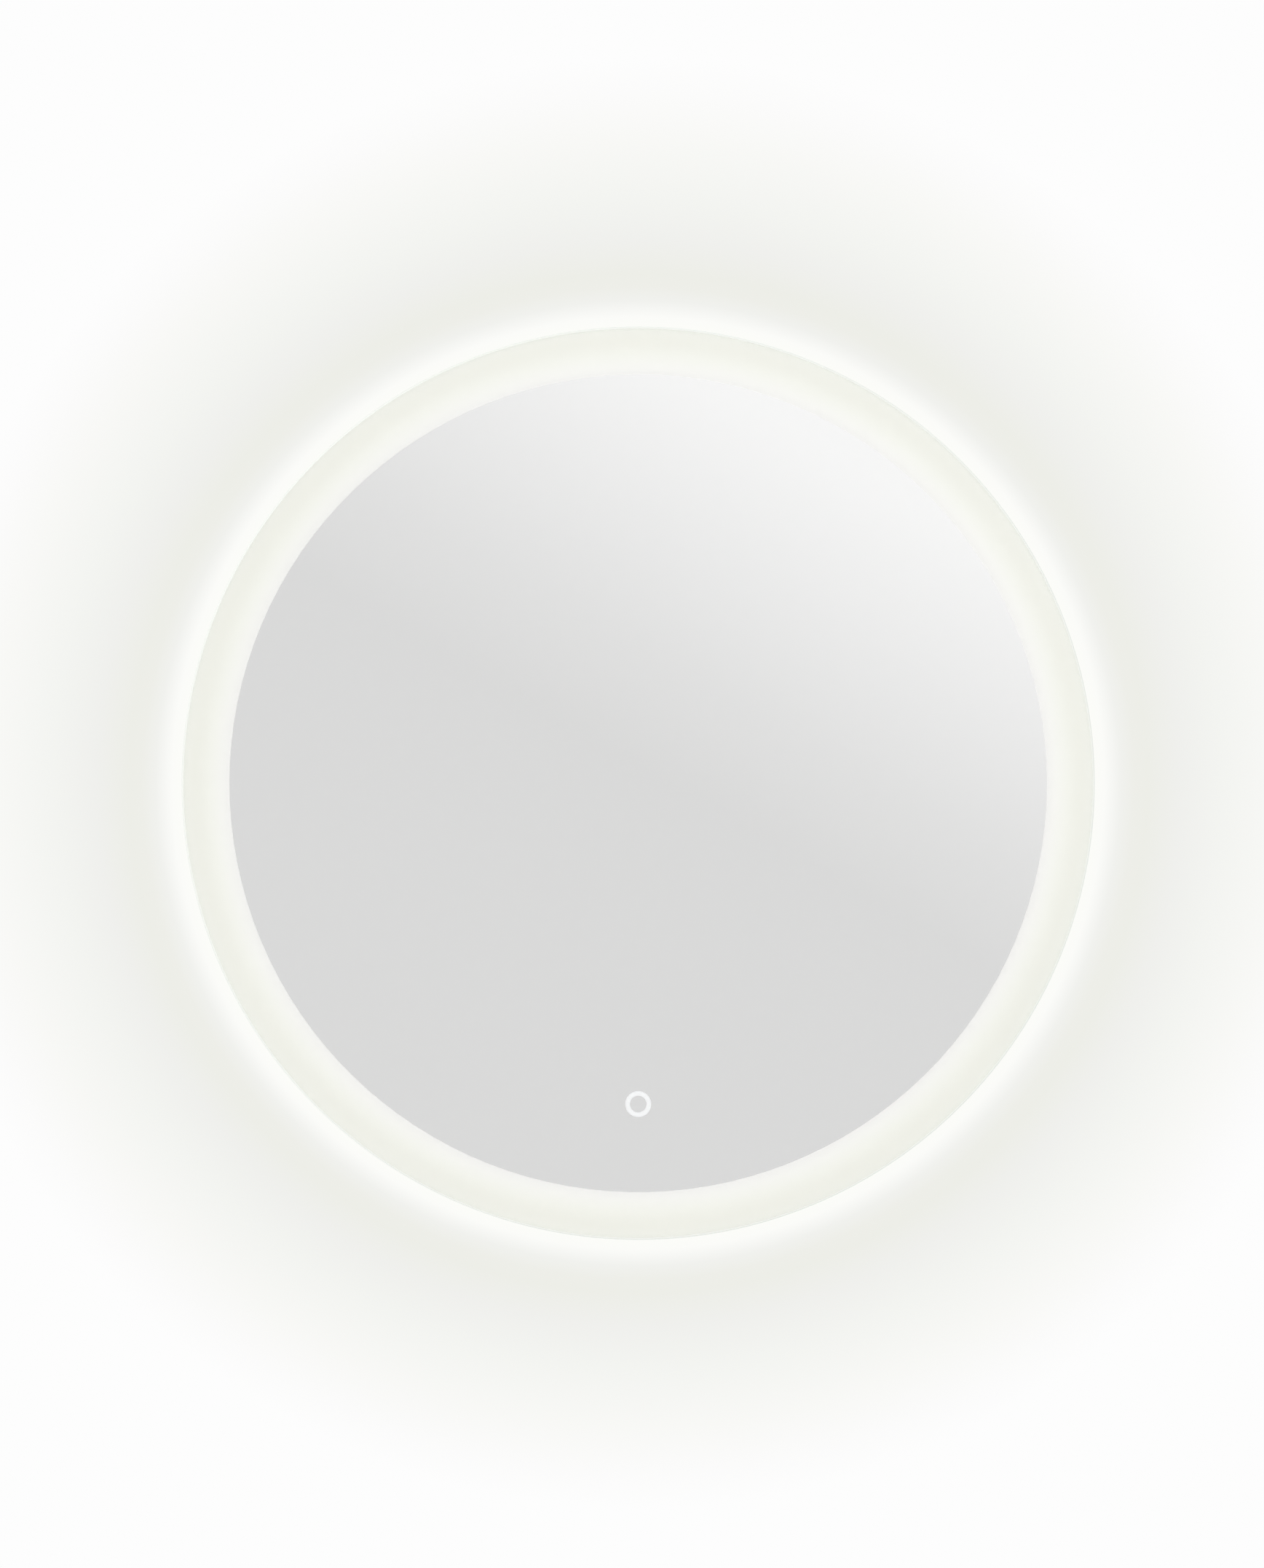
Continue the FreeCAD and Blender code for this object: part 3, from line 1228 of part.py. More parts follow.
SWITCH_LEAD_DEPTH = f"({SWITCH_REAR} + dims.switch_wall + dims.output_lead / 2)"
BOARD_WIDTH = "(dims.switch_width - 2 * dims.switch_wall - 2 * dims.board_wiring)"
BOARD_HEIGHT = "(dims.switch_height - 2 * dims.switch_wall - 2 * dims.board_clearance)"


def make_touch_switch_board():
    body = new_body("touch_switch_board")
    outline = sketch_on(body, "XZ_Plane", "board_outline", BOARD_REAR)
    rectangle(outline, "0", TOUCH_Z, BOARD_WIDTH, BOARD_HEIGHT)
    pad(body, "board", outline, "dims.board_thickness")
    chips = sketch_on(body, "XZ_Plane", "component_outlines", BOARD_FRONT)
    reach = "(dims.light_pipe_diameter / 2 + dims.component_width)"
    for side, share in (("+", "0.5"), ("-", "0.8")):
        rectangle(chips, f"0 {side} {reach}", TOUCH_Z,
                  "dims.component_width", f"dims.component_length * {share}")
    pad(body, "components", chips, "dims.component_height")


def make_touch_ring_light():
    """Opal puck that carries the board's light to the clear ring in the silver."""
    body = new_body("touch_ring_light")
    outline = sketch_on(body, "XZ_Plane", "puck_outline", BOARD_FRONT)
    circle(outline, "0", TOUCH_Z, "dims.light_pipe_diameter / 2")
    pad(body, "puck", outline, f"{TAPE_FRONT} - {BOARD_FRONT}")


# ---------------------------------------------------------------- leads


def place(x, z, depth):
    """A point of a lead's route, from three expressions or plain numbers."""
    x, z, depth = (number(v) if isinstance(v, str) else v for v in (x, z, depth))
    return at(x, z, depth)


DRIVER_LEFT = "(dims.driver_x - dims.driver_length / 2)"
DRIVER_RIGHT = "(dims.driver_x + dims.driver_length / 2)"
DRIVER_LEAD_DEPTH = f"(({PLATE_FRONT} + dims.driver_ear_thickness + {DRIVER_SEAM}) / 2)"
LEAD_RADIUS = f"({BEAD_FOOT} - dims.lead_inset)"
LAST_POLE_Z = "(dims.box_z + dims.pole_pitch * (dims.pole_count - 1) / 2)"


def clipped_depth(lead_size):
    """How far from the wall a lead's axis runs where saddles hold it on the plate."""
    return f"({PLATE_FRONT} + dims.clip_base + dims.clip_clearance + {lead_size} / 2)"


def power_route():
    """Mains from the terminal block, out over the tray and across to the driver."""
    depth = clipped_depth("dims.power_lead")
    stub = "dims.lead_stub"
    entry = "(dims.driver_z + dims.driver_lead_offset)"
    return [
        place(BLOCK_LEFT, LAST_POLE_Z, WIRE_DEPTH),
        place(GUTTER_X, LAST_POLE_Z, WIRE_DEPTH),
        place(GUTTER_X, f"{BOX_TOP} + 1.2 * {stub}", WIRE_DEPTH),
        place(f"{GUTTER_X} + 1.5 * {stub}", f"{BOX_TOP} + 2.4 * {stub}", depth),
        place(f"dims.box_x + {stub}", f"{BOX_TOP} + 2.5 * {stub}", depth),
        place(f"{DRIVER_LEFT} - 3 * {stub}", f"{BOX_TOP} + 1.5 * {stub}", depth),
        place(f"{DRIVER_LEFT} - 1.7 * {stub}", f"{entry} + {stub}", depth),
        place(f"{DRIVER_LEFT} - {stub}", entry, DRIVER_LEAD_DEPTH),
        place(DRIVER_LEFT, entry, DRIVER_LEAD_DEPTH),
    ]


OUTPUT_TURNS = (18, 36, 54, 70)  # degrees below the plate's centre line, on the driver's side


def output_route():
    """Low voltage from the driver, round the back plate, to the touch switch."""
    depth = clipped_depth("dims.output_lead")
    stub = "dims.lead_stub"
    exit_z = "dims.driver_z - dims.driver_lead_offset"
    round_plate = [
        place(f"{LEAD_RADIUS} * cos({turn})", f"-{LEAD_RADIUS} * sin({turn})", depth)
        for turn in OUTPUT_TURNS
    ]
    return [
        place(DRIVER_RIGHT, exit_z, DRIVER_LEAD_DEPTH),
        place(f"{DRIVER_RIGHT} + {stub}", exit_z, DRIVER_LEAD_DEPTH),
        *round_plate,
        place(f"dims.switch_width / 2 + {stub}", TOUCH_Z, SWITCH_LEAD_DEPTH),
        place(f"{BOARD_WIDTH} / 2", TOUCH_Z, SWITCH_LEAD_DEPTH),
    ]


def strip_route():
    """From the touch switch's board through the frame's bush to the strip's connector."""
    case_low = f"({TOUCH_Z} - dims.switch_height / 2)"
    return [
        place(0, f"{TOUCH_Z} - {BOARD_HEIGHT} / 2", SWITCH_LEAD_DEPTH),
        place(0, f"{case_low} - dims.lead_stub / 2", SWITCH_LEAD_DEPTH),
        place(0, f"{case_low} - dims.lead_stub * 1.3", STRIP_CENTRE),
        place(0, f"-sqrt({FRAME_RADIUS}^2 - (dims.strip_lead / 2)^2)", STRIP_CENTRE),
    ]


def heater_route():
    """Mains from the terminal block to the demister pad's tab."""
    tab_top = f"({HEATER_TAB_Z} + dims.heater_tab_height / 2)"
    tab_depth = f"({HEATER_TAB_REAR} + dims.heater_tab_thickness / 2)"
    stub = "dims.lead_stub"
    return [
        place(BLOCK_LEFT, FIRST_POLE_Z, WIRE_DEPTH),
        place(GUTTER_X, FIRST_POLE_Z, WIRE_DEPTH),
        place(GUTTER_X, f"{BOX_LOW} - 1.2 * {stub}", WIRE_DEPTH),
        place(HEATER_TAB_X, f"{tab_top} + {stub}", tab_depth),
        place(HEATER_TAB_X, tab_top, tab_depth),
    ]


EARTH_BARREL_TOP = "(dims.earth_z + dims.earth_tag / 2 + dims.earth_barrel_length)"
EARTH_BARREL_DEPTH = f"({PLATE_FRONT} + dims.earth_barrel / 2 + dims.earth_barrel_gap)"


def earth_route():
    """Earth from the terminal box to the tag on the plate's stud."""
    return [
        place(BLOCK_LEFT, "dims.box_z", WIRE_DEPTH),
        place(f"{BOX_LEFT} - dims.lead_stub", "dims.box_z", WIRE_DEPTH),
        place("dims.earth_x", f"{EARTH_BARREL_TOP} + dims.lead_stub", EARTH_BARREL_DEPTH),
        place("dims.earth_x", EARTH_BARREL_TOP, EARTH_BARREL_DEPTH),
    ]


def make_leads():
    for label, route, diameter in (
        ("driver_power_lead", power_route(), "dims.power_lead"),
        ("driver_output_lead", output_route(), "dims.output_lead"),
        ("strip_lead", strip_route(), "dims.strip_lead"),
        ("demister_lead", heater_route(), "dims.heater_lead"),
        ("earth_lead", earth_route(), "dims.earth_lead"),
    ):
        loose_part(label, [lead(route, number(diameter))])


def cable_clip(start, end, lead_size):
    """A stick-on saddle square to the run from start to end."""
    radius = number(f"{lead_size} / 2 + dims.clip_clearance")
    half = radius + number("dims.clip_wall")
    length, base = number("dims.clip_length"), number("dims.clip_base")
    reach = half + number("dims.clip_foot")
    height = base + radius
    along_y, first = Vector(0, 1, 0), -length / 2
    foot = Part.makeBox(2 * reach, length, base, Vector(-reach, first, 0))
    arch = Part.makeCylinder(half, length, Vector(0, first, height), along_y)
    cheeks = Part.makeBox(2 * half, length, height, Vector(-half, first, 0))
    tunnel = Part.makeCylinder(radius, length, Vector(0, first, height), along_y)
    clip = foot.fuse([arch, cheeks]).cut(tunnel).removeSplitter()
    middle = (start + end) / 2
    into_room = Vector(0, -1, 0)
    along = Vector(end.x - start.x, 0, end.z - start.z).normalize()
    clip.Placement = FreeCAD.Placement(
        Vector(middle.x, -number(PLATE_FRONT), middle.z),
        Rotation(along.cross(into_room), along, into_room, "ZXY"))
    return clip


def make_cable_clips():
    power, output = power_route(), output_route()
    solids = [cable_clip(power[4], power[5], "dims.power_lead")]
    for start, end in ((output[2], output[3]), (output[4], output[5])):
        solids.append(cable_clip(start, end, "dims.output_lead"))
    loose_part("cable_clips", solids)


def make_earth_fittings():
    """Stud through the plate, the lead's ring tag on it and the nut that holds both."""
    x, z = number("dims.earth_x"), number("dims.earth_z")
    stud_radius = number("dims.earth_stud") / 2
    stud = headed_pin(x, z, number(PLATE_REAR), number("dims.earth_head") / 2,
                      number("dims.screw_head_height"), stud_radius,
                      number("dims.earth_stud_length"))
    loose_part("earth_stud", [stud])

    rear = number(PLATE_FRONT)
    front = rear + number("dims.earth_tag_thickness")
    bore = stud_radius + number("dims.hole_clearance") / 2
    far = rear + number("dims.earth_stud_length")
    ring = upright_cylinder(x, z, rear, front, number("dims.earth_tag") / 2)
    barrel_radius = number("dims.earth_barrel") / 2
    barrel_length = number(f"{EARTH_BARREL_TOP} - dims.earth_z")
    axis_depth = number(EARTH_BARREL_DEPTH)
    barrel = Part.makeCylinder(barrel_radius, barrel_length, at(x, z, axis_depth), Vector(0, 0, 1))
    collar = upright_cylinder(x, z, front, far, number("dims.earth_tag") / 2)
    stud_hole = upright_cylinder(x, z, rear, far, bore)
    loose_part("earth_tag", [ring.fuse(barrel.cut(collar)).cut(stud_hole).removeSplitter()])

    corner_reach = number("dims.earth_nut") / math.sqrt(3)
    corners = []
    for corner in range(6):
        angle = math.radians(60 * corner)
        corners.append(at(x + corner_reach * math.cos(angle), z + corner_reach * math.sin(angle), front))
    height = number("dims.earth_nut_height")
    nut = Part.Face(Part.makePolygon(corners + corners[:1])).extrude(Vector(0, -height, 0))
    loose_part("earth_nut", [nut.cut(upright_cylinder(x, z, front, front + height, stud_radius))])


for make in (
    make_mirror_glass, make_silver_backing, make_frosted_band, make_demister_pad,
    make_mounting_tape, make_frame_ring, make_frame_splice, make_splice_rivets, make_led_strip,
    make_led_chips, make_strip_connector, make_strip_cover, make_frame_grommet, make_back_plate,
    make_back_plate_screws, make_hanging_cleat, make_cleat_rivets, make_wall_rail,
    make_wall_bumpers, make_terminal_box, make_terminal_box_lid, make_lid_screws,
    make_inlet_grommet, make_terminal_block, make_terminal_screws, make_cord_clamp,
    make_clamp_screws, make_driver_case, make_driver_lid, make_driver_screws,
    make_touch_switch_case, make_touch_switch_board, make_touch_ring_light, make_leads,
    make_cable_clips, make_earth_fittings,
):
    make()
doc.recompute()

for item in doc.Objects:
    if "Invalid" in item.State or "Error" in item.State:
        raise RuntimeError(f"{item.Label} failed: {item.State}")
sub_parts = [o for o in doc.Objects if o.TypeId in ("PartDesign::Body", "Part::Feature")]
for part in sub_parts:
    if part.Shape.isNull() or not part.Shape.isValid() or not part.Shape.Solids:
        raise RuntimeError(f"{part.Label} has no valid solid")

os.makedirs("parts", exist_ok=True)
for part in sub_parts:
    part.Shape.exportStep(f"parts/{part.Label}.step")
    print(part.Label, len(part.Shape.Solids), "solids", round(part.Shape.Volume), "mm3")
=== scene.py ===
"""Looks of the lighted round mirror: its pane, frosted rim, lit channel, back plate and hanger.

Metres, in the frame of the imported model: the wall is the plane y = 0 and the room is at -y.
"""
import math

import bmesh
import bpy
from mathutils import Matrix, Vector


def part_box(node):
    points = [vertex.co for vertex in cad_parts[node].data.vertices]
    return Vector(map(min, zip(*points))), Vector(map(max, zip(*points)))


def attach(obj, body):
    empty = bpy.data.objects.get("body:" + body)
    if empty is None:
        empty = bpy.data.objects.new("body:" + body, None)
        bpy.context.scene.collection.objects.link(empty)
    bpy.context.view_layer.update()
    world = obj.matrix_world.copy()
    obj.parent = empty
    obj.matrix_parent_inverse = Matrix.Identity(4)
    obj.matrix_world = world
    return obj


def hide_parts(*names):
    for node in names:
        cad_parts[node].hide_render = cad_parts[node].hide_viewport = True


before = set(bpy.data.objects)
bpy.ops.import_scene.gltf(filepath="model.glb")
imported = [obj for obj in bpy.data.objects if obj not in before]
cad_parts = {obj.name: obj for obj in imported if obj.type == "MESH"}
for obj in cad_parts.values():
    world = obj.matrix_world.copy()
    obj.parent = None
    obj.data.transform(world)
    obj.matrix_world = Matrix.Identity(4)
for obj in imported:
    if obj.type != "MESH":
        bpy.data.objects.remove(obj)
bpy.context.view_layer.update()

MM = 0.001

pane_low, pane_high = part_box("mirror_glass")
CENTRE = Vector((0, 0, (pane_low.z + pane_high.z) / 2))
PANE_RADIUS = (pane_high.z - pane_low.z) / 2
PANE_FRONT, PANE_REAR = pane_low.y, pane_high.y
SILVER_RADIUS = (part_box("silver_backing")[1].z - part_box("silver_backing")[0].z) / 2
LED_COUNT, LED_PITCH = 98, 16.67 * MM
LED_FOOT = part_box("led_strip")[1].x
LED_STEP = LED_PITCH / LED_FOOT
SILVER = (0.94, 0.93, 0.93)

# Depths between which a coating on the pane's rear face turns from its front to its back.
COAT_FRONT, COAT_REAR = PANE_REAR + 0.05 * MM, PANE_REAR + 0.08 * MM

# How strongly each lit surface shines, set against the photograph's brightness.
RIM_GLOW, RIM_REAR_SHARE = 0.59, 0.14
TOUCH_GLOW = 0.61
EDGE_GLOW = 0.15
COVER_GLOW = 0.46
CHIP_GLOW = 2.0

# Corners nearer to each other than this become one.
WELD = 1e-7


# ------------------------------------------------------------------ node chains


def new_finish(name, colour, roughness, metallic=0.0, **even):
    """A material whose shader holds what is the same all over the surface."""
    finish = bpy.data.materials.new(name)
    finish.use_nodes = True
    shader = shader_of(finish)
    shader.inputs["Base Color"].default_value = (*colour, 1)
    shader.inputs["Roughness"].default_value = roughness
    shader.inputs["Metallic"].default_value = metallic
    for socket, value in even.items():
        shader.inputs[socket.replace("_", " ").title().replace("Ior", "IOR")].default_value = value
    return finish


def shader_of(finish):
    return finish.node_tree.nodes["Principled BSDF"]


def add(finish, kind, **settings):
    node = finish.node_tree.nodes.new("ShaderNode" + kind)
    for name, value in settings.items():
        setattr(node, name, value)
    return node


def wire(finish, source, target):
    finish.node_tree.links.new(source, target)
    return target


def place(finish, stretch=(1, 1, 1), origin=(0, 0, 0)):
    """Object coordinates, measured from origin and stretched along the axes."""
    coordinates = add(finish, "TexCoord")
    mapping = add(finish, "Mapping")
    mapping.inputs["Scale"].default_value = stretch
    mapping.inputs["Location"].default_value = [-o * s for o, s in zip(origin, stretch)]
    wire(finish, coordinates.outputs["Object"], mapping.inputs["Vector"])
    return mapping.outputs["Vector"]


def grain(finish, size, stretch=(1, 1, 1), detail=3.0, uneven=0.5):
    """Cloudy pattern from 0 to 1 whose patches are about size across."""
    noise = add(finish, "TexNoise")
    noise.inputs["Scale"].default_value = 1 / size
    noise.inputs["Detail"].default_value = detail
    noise.inputs["Roughness"].default_value = uneven
    wire(finish, place(finish, stretch), noise.inputs["Vector"])
    return noise.outputs["Fac"]


def cells(finish, size, output="Color", stretch=(1, 1, 1)):
    """Crystal or cell pattern. Its colour output gives each cell one random value."""
    voronoi = add(finish, "TexVoronoi")
    voronoi.inputs["Scale"].default_value = 1 / size
    wire(finish, place(finish, stretch), voronoi.inputs["Vector"])
    return voronoi.outputs[output]


def sum_up(finish, operation, first, second=None):
    """One math node on sockets or plain numbers."""
    node = add(finish, "Math", operation=operation)
    for socket, value in zip(node.inputs, (first, second)):
        if isinstance(value, bpy.types.NodeSocket):
            wire(finish, value, socket)
        elif value is not None:
            socket.default_value = value
    return node.outputs[0]


def blended(finish, first, second, share):
    """Two patterns added up, with that share of the first."""
    return sum_up(finish, "ADD", sum_up(finish, "MULTIPLY", first, share),
                  sum_up(finish, "MULTIPLY", second, 1 - share))


def spread(finish, pattern, low, high, start=0.0, stop=1.0):
    """The pattern's range start to stop, laid over low to high."""
    node = add(finish, "MapRange")
    wire(finish, pattern, node.inputs["Value"])
    for name, value in (("From Min", start), ("From Max", stop), ("To Min", low), ("To Max", high)):
        node.inputs[name].default_value = value
    return node.outputs["Result"]


def tint(finish, pattern, *stops, blend="LINEAR"):
    """Colour ramp over the pattern. Each stop is (position, colour)."""
    node = add(finish, "ValToRGB")
    ramp = node.color_ramp
    ramp.interpolation = blend
    while len(ramp.elements) < len(stops):
        ramp.elements.new(0.5)
    for element, (position, colour) in zip(ramp.elements, stops):
        element.position = position
        element.color = (*colour, 1)
    wire(finish, pattern, node.inputs["Fac"])
    return node.outputs["Color"]


def set_to(finish, socket, output):
    wire(finish, output, shader_of(finish).inputs[socket])


def colour_by(finish, pattern, dark, light, start=0.3, stop=0.7):
    """Base colour that goes from dark to light with the pattern."""
    set_to(finish, "Base Color", tint(finish, pattern, (start, dark), (stop, light)))


def roughen(finish, pattern, smooth, rough):
    """Roughness that goes from smooth to rough with the pattern."""
    set_to(finish, "Roughness", spread(finish, pattern, smooth, rough))


def shine(finish, colour, strength):
    """Lets the surface glow in plain numbers or in a pattern's colours."""
    shader_of(finish).inputs["Emission Strength"].default_value = strength
    if isinstance(colour, bpy.types.NodeSocket):
        set_to(finish, "Emission Color", colour)
    else:
        shader_of(finish).inputs["Emission Color"].default_value = (*colour, 1)


def relief(finish, pattern, depth):
    """Adds a bump of that depth in metres over the whole pattern, on top of earlier ones."""
    bump = add(finish, "Bump")
    bump.inputs["Distance"].default_value = depth
    wire(finish, pattern, bump.inputs["Height"])
    normal = shader_of(finish).inputs["Normal"]
    if normal.is_linked:
        wire(finish, normal.links[0].from_socket, bump.inputs["Normal"])
    wire(finish, bump.outputs["Normal"], normal)


def from_axis(finish):
    """Distance from the mirror's own axis, in metres."""
    length = add(finish, "VectorMath", operation="LENGTH")
    wire(finish, place(finish, (1, 0, 1), CENTRE), length.inputs[0])
    return length.outputs["Value"]


def round_the_ring(finish):
    """A wave from -1 to 1 round the ring, highest in front of each light chip."""
    parts = add(finish, "SeparateXYZ")
    wire(finish, place(finish, origin=CENTRE), parts.inputs[0])
    angle = sum_up(finish, "ARCTAN2", parts.outputs["X"], parts.outputs["Z"])
    turns = sum_up(finish, "MULTIPLY", angle, 2 * math.pi / LED_STEP)
    return sum_up(finish, "MULTIPLY", sum_up(finish, "COSINE", turns), -1.0)


def depth_of(finish):
    parts = add(finish, "SeparateXYZ")
    wire(finish, place(finish), parts.inputs[0])
    return parts.outputs["Y"]


# ------------------------------------------------------------------ finishes of the front


def float_glass():
    """Clear polished pane with the green of its thickness."""
    finish = new_finish("float_glass", (1, 1, 1), 0.0, Transmission_Weight=1.0, IOR=1.52)
    roughen(finish, grain(finish, 90 * MM), 0.0, 0.004)
    green = add(finish, "VolumeAbsorption")
    green.inputs["Color"].default_value = (0.55, 0.88, 0.74, 1)
    green.inputs["Density"].default_value = 3.5
    wire(finish, green.outputs["Volume"], finish.node_tree.nodes["Material Output"].inputs["Volume"])
    return finish


def ground_edge():
    """Satin edge of the pane: pale arrises, green side. The light inside the glass makes it glow."""
    finish = new_finish("ground_edge", (0.8, 0.83, 0.78), 0.5)
    stone_marks = grain(finish, 0.4 * MM, (1, 0.2, 1), detail=4.0)
    side = spread(finish, from_axis(finish), 0.0, 1.0, PANE_RADIUS - 0.12 * MM, PANE_RADIUS - 0.04 * MM)
    ground = blended(finish, side, stone_marks, 0.8)
    colour_by(finish, ground, (0.83, 0.85, 0.8), (0.56, 0.67, 0.61), 0.05, 0.95)
    shine(finish, tint(finish, side, (0.0, (0.98, 1.0, 0.93)), (1.0, (0.4, 0.57, 0.49))), EDGE_GLOW)
    roughen(finish, stone_marks, 0.35, 0.6)
    relief(finish, stone_marks, 0.01 * MM)
    return finish


def silver_coat():
    """Silver seen from the front, grey-blue paint on its back."""
    finish = new_finish("silver_coat", SILVER, 0.02, 1.0)
    paint = spread(finish, depth_of(finish), 0.0, 1.0, COAT_FRONT, COAT_REAR)
    brushed_on = grain(finish, 18 * MM, (1, 1, 0.3))
    rolled = tint(finish, brushed_on, (0.3, (0.2, 0.24, 0.29)), (0.7, (0.25, 0.29, 0.34)))
    mix = add(finish, "Mix", data_type="RGBA")
    mix.inputs[6].default_value = (*SILVER, 1)
    wire(finish, paint, mix.inputs[0])
    wire(finish, rolled, mix.inputs[7])
    set_to(finish, "Base Color", mix.outputs[2])
    set_to(finish, "Metallic", spread(finish, paint, 1.0, 0.0))
    roughen(finish, paint, 0.012, 0.5)
    return finish


def frosted_rim():
    """Sandblasted rim, lit from behind: whitest at the silver's edge, cooler towards the outside."""
    finish = new_finish("frosted_rim", (0.8, 0.8, 0.78), 0.6)
    across = spread(finish, from_axis(finish), 0.0, 1.0, SILVER_RADIUS, PANE_RADIUS)
    glow = tint(finish, across, (0.05, (0.95, 0.93, 0.91)), (0.17, (0.99, 0.975, 0.935)),
                (0.43, (0.94, 0.935, 0.85)), (0.58, (0.89, 0.88, 0.79)), (0.74, (0.87, 0.857, 0.765)),
                (1.0, (0.9, 0.885, 0.815)))
    share = spread(finish, depth_of(finish), 1.0, RIM_REAR_SHARE, COAT_FRONT, COAT_REAR)
    dimmed = add(finish, "VectorMath", operation="SCALE")
    wire(finish, glow, dimmed.inputs[0])
    wire(finish, share, dimmed.inputs["Scale"])
    shine(finish, dimmed.outputs[0], RIM_GLOW)
    blasted = grain(finish, 0.5 * MM, detail=4.0, uneven=0.7)
    roughen(finish, blasted, 0.5, 0.7)
    relief(finish, blasted, 0.02 * MM)
    return finish


def lit_touch_ring():
    """Opal puck behind the ring that is left clear in the silver."""
    finish = new_finish("lit_touch_ring", (0.8, 0.8, 0.8), 0.5)
    cloud = grain(finish, 2 * MM)
    shine(finish, tint(finish, cloud, (0.3, (0.97, 0.98, 1.0)), (0.7, (1.0, 1.0, 1.0))), TOUCH_GLOW)
    relief(finish, grain(finish, 0.3 * MM), 0.01 * MM)
    return finish


# ------------------------------------------------------------------ finishes of the light


def opal_cover():
    """Extruded opal diffuser. The chips behind it show as soft brighter spots."""
    finish = new_finish("opal_cover", (0.5, 0.5, 0.48), 0.42)
    spots = spread(finish, round_the_ring(finish), 0.0, 1.0, -1.0, 1.0)
    glow = tint(finish, spots, (0.0, (0.68, 0.69, 0.61)), (0.6, (0.84, 0.84, 0.76)),
                (1.0, (1.0, 1.0, 0.94)), blend="EASE")
    shine(finish, glow, COVER_GLOW)
    drawn = grain(finish, 0.5 * MM, (0.05, 1, 0.05))
    roughen(finish, drawn, 0.36, 0.48)
    relief(finish, drawn, 0.01 * MM)
    return finish


def white_circuit():
    """White solder mask of the flexible circuit, with tinned pads beside each chip."""
    finish = new_finish("white_circuit", (0.92, 0.92, 0.9), 0.45)
    wave = round_the_ring(finish)
    pads = tint(finish, spread(finish, wave, 0.0, 1.0, -1.0, 1.0), (0.0, (0.92, 0.92, 0.9)),
                (0.18, (0.92, 0.92, 0.9)), (0.2, (0.76, 0.6, 0.36)), (0.3, (0.76, 0.6, 0.36)),
                (0.32, (0.92, 0.92, 0.9)))
    set_to(finish, "Base Color", pads)
    weave = grain(finish, 0.6 * MM)
    roughen(finish, weave, 0.35, 0.55)
    relief(finish, weave, 0.01 * MM)
    return finish


def chip_housing():
    finish = new_finish("chip_housing", (0.94, 0.94, 0.9), 0.3)
    mottled = grain(finish, 0.8 * MM)
    colour_by(finish, mottled, (0.9, 0.9, 0.85), (0.96, 0.96, 0.93))
    roughen(finish, mottled, 0.22, 0.4)
    return finish


def phosphor():
    """Yellow resin window of a light chip, lit."""
    finish = new_finish("phosphor", (0.93, 0.78, 0.25), 0.25)
    grains = grain(finish, 0.25 * MM)
    colour_by(finish, grains, (0.9, 0.72, 0.18), (0.96, 0.84, 0.36))
    shine(finish, (1.0, 0.96, 0.8), CHIP_GLOW)
    relief(finish, grains, 0.01 * MM)
    return finish


# ------------------------------------------------------------------ metals


def anodised_frame():
    """Satin anodised extrusion. Its die lines follow the ring, so they differ with depth alone."""
    finish = new_finish("anodised_frame", (0.74, 0.75, 0.77), 0.38, 1.0)
    die_lines = grain(finish, 0.25 * MM, (0.02, 1, 0.02), detail=4.0)
    streaks = grain(finish, 1.6 * MM, (0.01, 1, 0.01), uneven=0.7)
    shade = blended(finish, streaks, grain(finish, 25 * MM), 0.55)
    colour_by(finish, shade, (0.67, 0.68, 0.70), (0.78, 0.79, 0.81), 0.35, 0.65)
    roughen(finish, die_lines, 0.28, 0.46)
    relief(finish, die_lines, 0.012 * MM)
    return finish


def mill_extrusion():
    """Plain extruded aluminium of the hanger: bright lines along it and faint dull patches."""
    finish = new_finish("mill_extrusion", (0.68, 0.69, 0.7), 0.33, 1.0)
    lines = grain(finish, 0.35 * MM, (0.01, 1, 1), detail=5.0)
    streaks = grain(finish, 2.2 * MM, (0.006, 1, 1), detail=4.0, uneven=0.7)
    shade = blended(finish, streaks, grain(finish, 30 * MM, (0.4, 1, 1)), 0.6)
    colour_by(finish, shade, (0.56, 0.57, 0.58), (0.75, 0.76, 0.77), 0.35, 0.65)
    roughen(finish, lines, 0.2, 0.5)
    relief(finish, lines, 0.02 * MM)
    return finish


def galvanised_sheet():
    """Hot dipped steel: spangle crystals of differing dullness, and fine press marks."""
    finish = new_finish("galvanised_sheet", (0.63, 0.64, 0.65), 0.4, 1.0)
    crystals = cells(finish, 10 * MM)
    flakes = cells(finish, 4 * MM, stretch=(1, 1, 1.7))
    both = blended(finish, crystals, flakes, 0.6)
    set_to(finish, "Base Color", tint(finish, both, (0.1, (0.55, 0.56, 0.57)), (0.5, (0.63, 0.64, 0.65)),
                                      (0.9, (0.71, 0.72, 0.72))))
    scuffs = grain(finish, 1.5 * MM, (0.3, 1, 1), detail=4.0)
    set_to(finish, "Roughness", spread(finish, blended(finish, both, scuffs, 0.6), 0.24, 0.56))
    relief(finish, both, 0.03 * MM)
    relief(finish, scuffs, 0.01 * MM)
    return finish


def small_metal(name, light, dark, roughness):
    """Plated or drawn small parts: even metal with faint stains and tumbling marks."""
    finish = new_finish(name, light, roughness, 1.0)
    stains = grain(finish, 3 * MM)
    colour_by(finish, stains, dark, light)
    marks = grain(finish, 0.4 * MM, detail=4.0)
    roughen(finish, marks, roughness - 0.08, roughness + 0.12)
    relief(finish, marks, 0.006 * MM)
    return finish


def zinc_plating():
    return small_metal("zinc_plating", (0.74, 0.75, 0.76), (0.68, 0.68, 0.63), 0.28)


